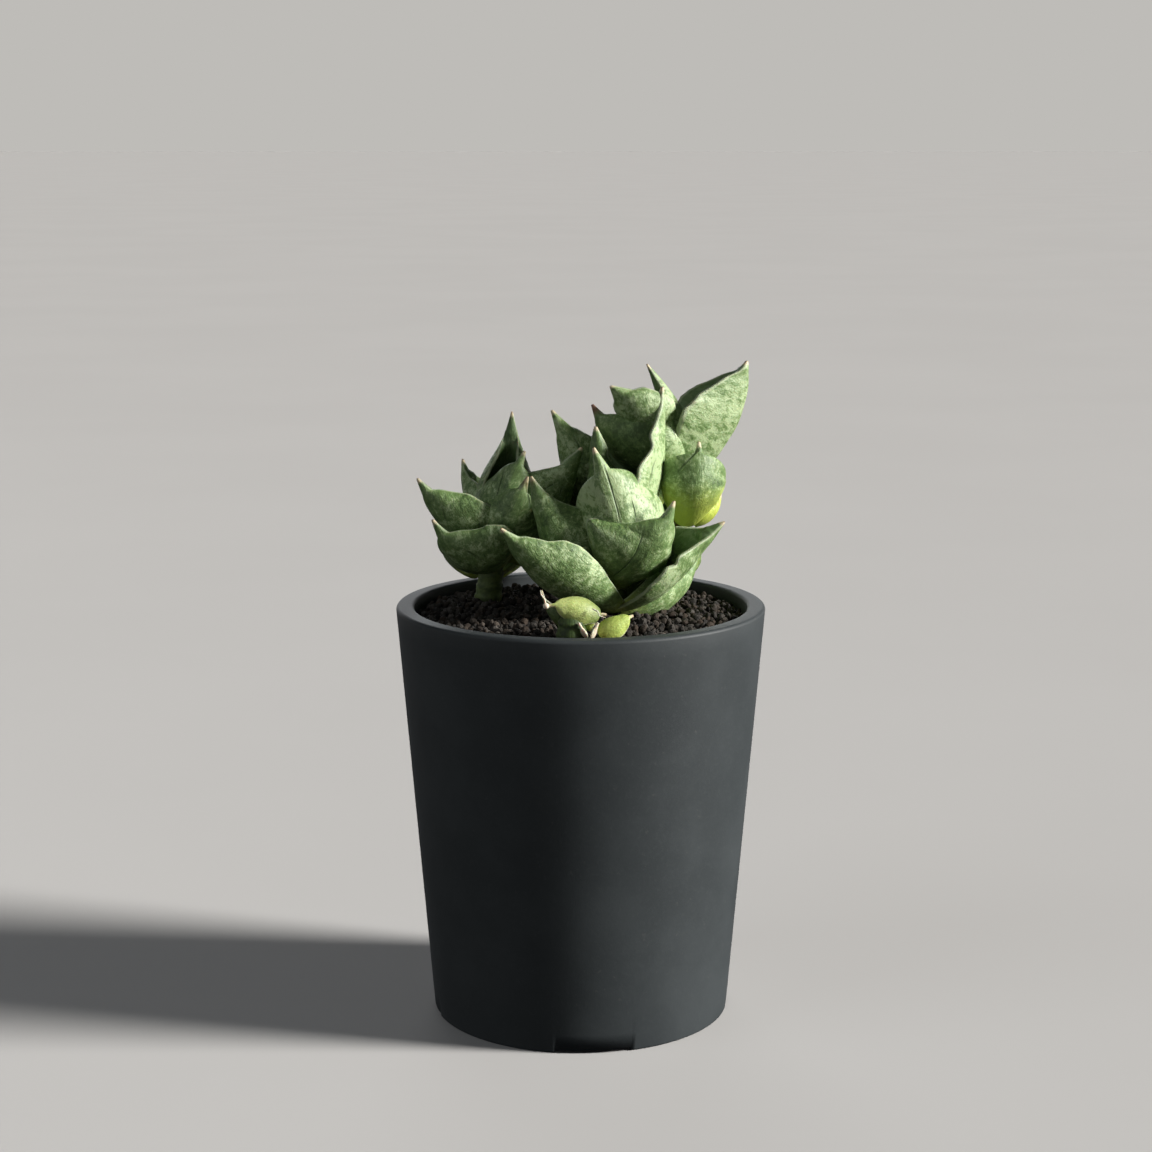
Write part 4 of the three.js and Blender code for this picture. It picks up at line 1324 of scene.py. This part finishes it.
def turned(random, count):
    """Random rotations."""
    q = unit(random.normal(size=(count, 4)))
    w, x, y, z = q.T
    matrix = [
        [1 - 2 * (y * y + z * z), 2 * (x * y - z * w), 2 * (x * z + y * w)],
        [2 * (x * y + z * w), 1 - 2 * (x * x + z * z), 2 * (y * z - x * w)],
        [2 * (x * z - y * w), 2 * (y * z + x * w), 1 - 2 * (x * x + y * y)],
    ]
    return np.ascontiguousarray(np.moveaxis(np.array(matrix), -1, 0))


def strew(name, places, random):
    count = len(places)
    kinds = random.integers(0, LUMP_KINDS, count)
    sizes = random.uniform(*GRAIN_RADIUS, count)
    shapes = np.einsum("nij,npj->npi", turned(random, count), lumps[kinds]) * sizes[:, None, None]
    points = shapes + places[:, None]
    faces = (ball_faces[None] + len(ball_points) * np.arange(count)[:, None, None]).reshape(-1, 3)
    piece = new_piece(name, points.reshape(-1, 3), faces, soil_crumbs, "soil", smooth=False)
    tones = np.stack([random.random(count) ** 1.6, random.random(count) ** 2.5, np.zeros(count)], -1)
    say(piece, "grain_tone", np.repeat(tones, len(ball_points), axis=0))
    print(name + ":", count, "grains,", len(faces), "triangles")


grain_source = seeded("grains")
every_grain = np.concatenate([grain_places(grain_source, *layer) for layer in LAYERS])
in_front = every_grain[:, 1] < np.median(every_grain[:, 1])
# Two pieces, so that neither is too heavy.
strew("soil_grains_front", every_grain[in_front], grain_source)
strew("soil_grains_back", every_grain[~in_front], grain_source)

# %% [markdown]
# ## Floor and light
# The plant stands on a plain pale floor. In the picture the light comes from the right, a little
# from above and in front, through one window: it models every leaf and leaves the left side deep
# in shade. A far lamp, as wide as a window is across a room, does that here. A weak square lamp on
# the left opens the shadows a little, and weak far light, low behind the plant, shows its back.
#
# The surroundings are pale only at the horizon, where they are seen behind the plant, and dim
# overhead, because light from all sides would flatten the leaves. For the same reason the floor
# sends no light up under them.

# %% Floor
FLOOR_SIDE = 60.0  # m, so that it reaches the horizon


def plain_floor():
    material, shader, start = new_finish("pale_floor", Roughness=0.9, Specular_IOR_Level=0.0)
    place = start.node("TexCoord", None, None, "Object")
    clouds = noise(place, 3.0, 3)
    feed(shader, Base_Color=mix(clouds.smooth(0.3, 0.7), srgb(200, 198, 196), srgb(202, 200, 198)))
    half = FLOOR_SIDE / 2
    mesh = bpy.data.meshes.new("pale_floor")
    corners = [(-half, -half, 0), (half, -half, 0), (half, half, 0), (-half, half, 0)]
    mesh.from_pydata(corners, [], [(0, 1, 2, 3)])
    mesh.materials.append(material)
    floor = bpy.data.objects.new("pale_floor", mesh)
    scene.collection.objects.link(floor)
    floor.visible_diffuse = False  # it is seen, but sends no light up under the leaves
    floor.visible_glossy = False
    floor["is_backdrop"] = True


plain_floor()
print("floor:", FLOOR_SIDE, "m wide")

# %% Lamps
PLANT_MIDDLE = Vector((0, 0, 0.13))  # m
FILL_WAY = Vector((-0.75, -0.4, 0.6)).normalized()
FILL_DISTANCE = 1.8
FILL_SIDE = 1.1


def new_lamp(name, kind, toward, power, colour, **settings):
    """A lamp that shines from a direction."""
    data = bpy.data.lights.new(name, kind)
    data.energy = power
    data.color = colour
    for setting, value in settings.items():
        setattr(data, setting, value)
    lamp = bpy.data.objects.new(name, data)
    lamp.rotation_mode = "QUATERNION"
    lamp.rotation_quaternion = Vector(toward).to_track_quat("Z", "Y")
    scene.collection.objects.link(lamp)
    return lamp


WINDOW_WIDTH = math.radians(14)  # as the plant sees it
BACK_WIDTH = math.radians(40)
new_lamp("window", "SUN", (0.8, -0.13, 0.35), 6.3, (1.0, 0.985, 0.955), angle=WINDOW_WIDTH)
fill = new_lamp("fill", "AREA", FILL_WAY, 4.0, (0.92, 0.97, 1.0), shape="SQUARE", size=FILL_SIDE)
fill.location = PLANT_MIDDLE + FILL_WAY * FILL_DISTANCE
fill.visible_camera = False
new_lamp("back", "SUN", (-0.1, 0.9, 0.2), 0.8, (0.96, 0.98, 1.0), angle=BACK_WIDTH)
print("lamps: window, fill and back")

# %% Surroundings
HORIZON = srgb(190, 188, 184)
OVERHEAD = srgb(44, 46, 50)
PALE_BAND = (0.05, 0.2)  # sines of the heights between which the horizon turns into overhead

world = bpy.data.worlds.new("studio")
world.use_nodes = True
scene.world = world
backdrop = world.node_tree.nodes["Background"]
sky = Wire(world.node_tree)
direction = sky.node("TexCoord", None, None, "Generated")
height = direction.node("SeparateXYZ", None, {"Vector": direction}, "Z")
colour = mix(height.size().smooth(*PALE_BAND), HORIZON, OVERHEAD)
world.node_tree.links.new(colour.socket, backdrop.inputs["Color"])
backdrop.inputs["Strength"].default_value = 1.0
scene.view_settings.view_transform = "Standard"
scene.view_settings.look = "None"
scene.view_settings.exposure = 0.0
print("surroundings: pale at the horizon, dim overhead")

# %% [markdown]
# ## The last look
# The box of the imported solids was measured at the start, and the box of what is shown now is
# measured here. Both are printed in millimetres. Each piece of plant, pot and soil rides on the
# plant's one body.

# %% Sizes and finish
size = {"cad": [list(corner) for corner in cad_box], "visual": [list(corner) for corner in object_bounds()]}
for key, box in size.items():
    print(key, "box in mm:", [[round(value / MM, 1) for value in corner] for corner in box])
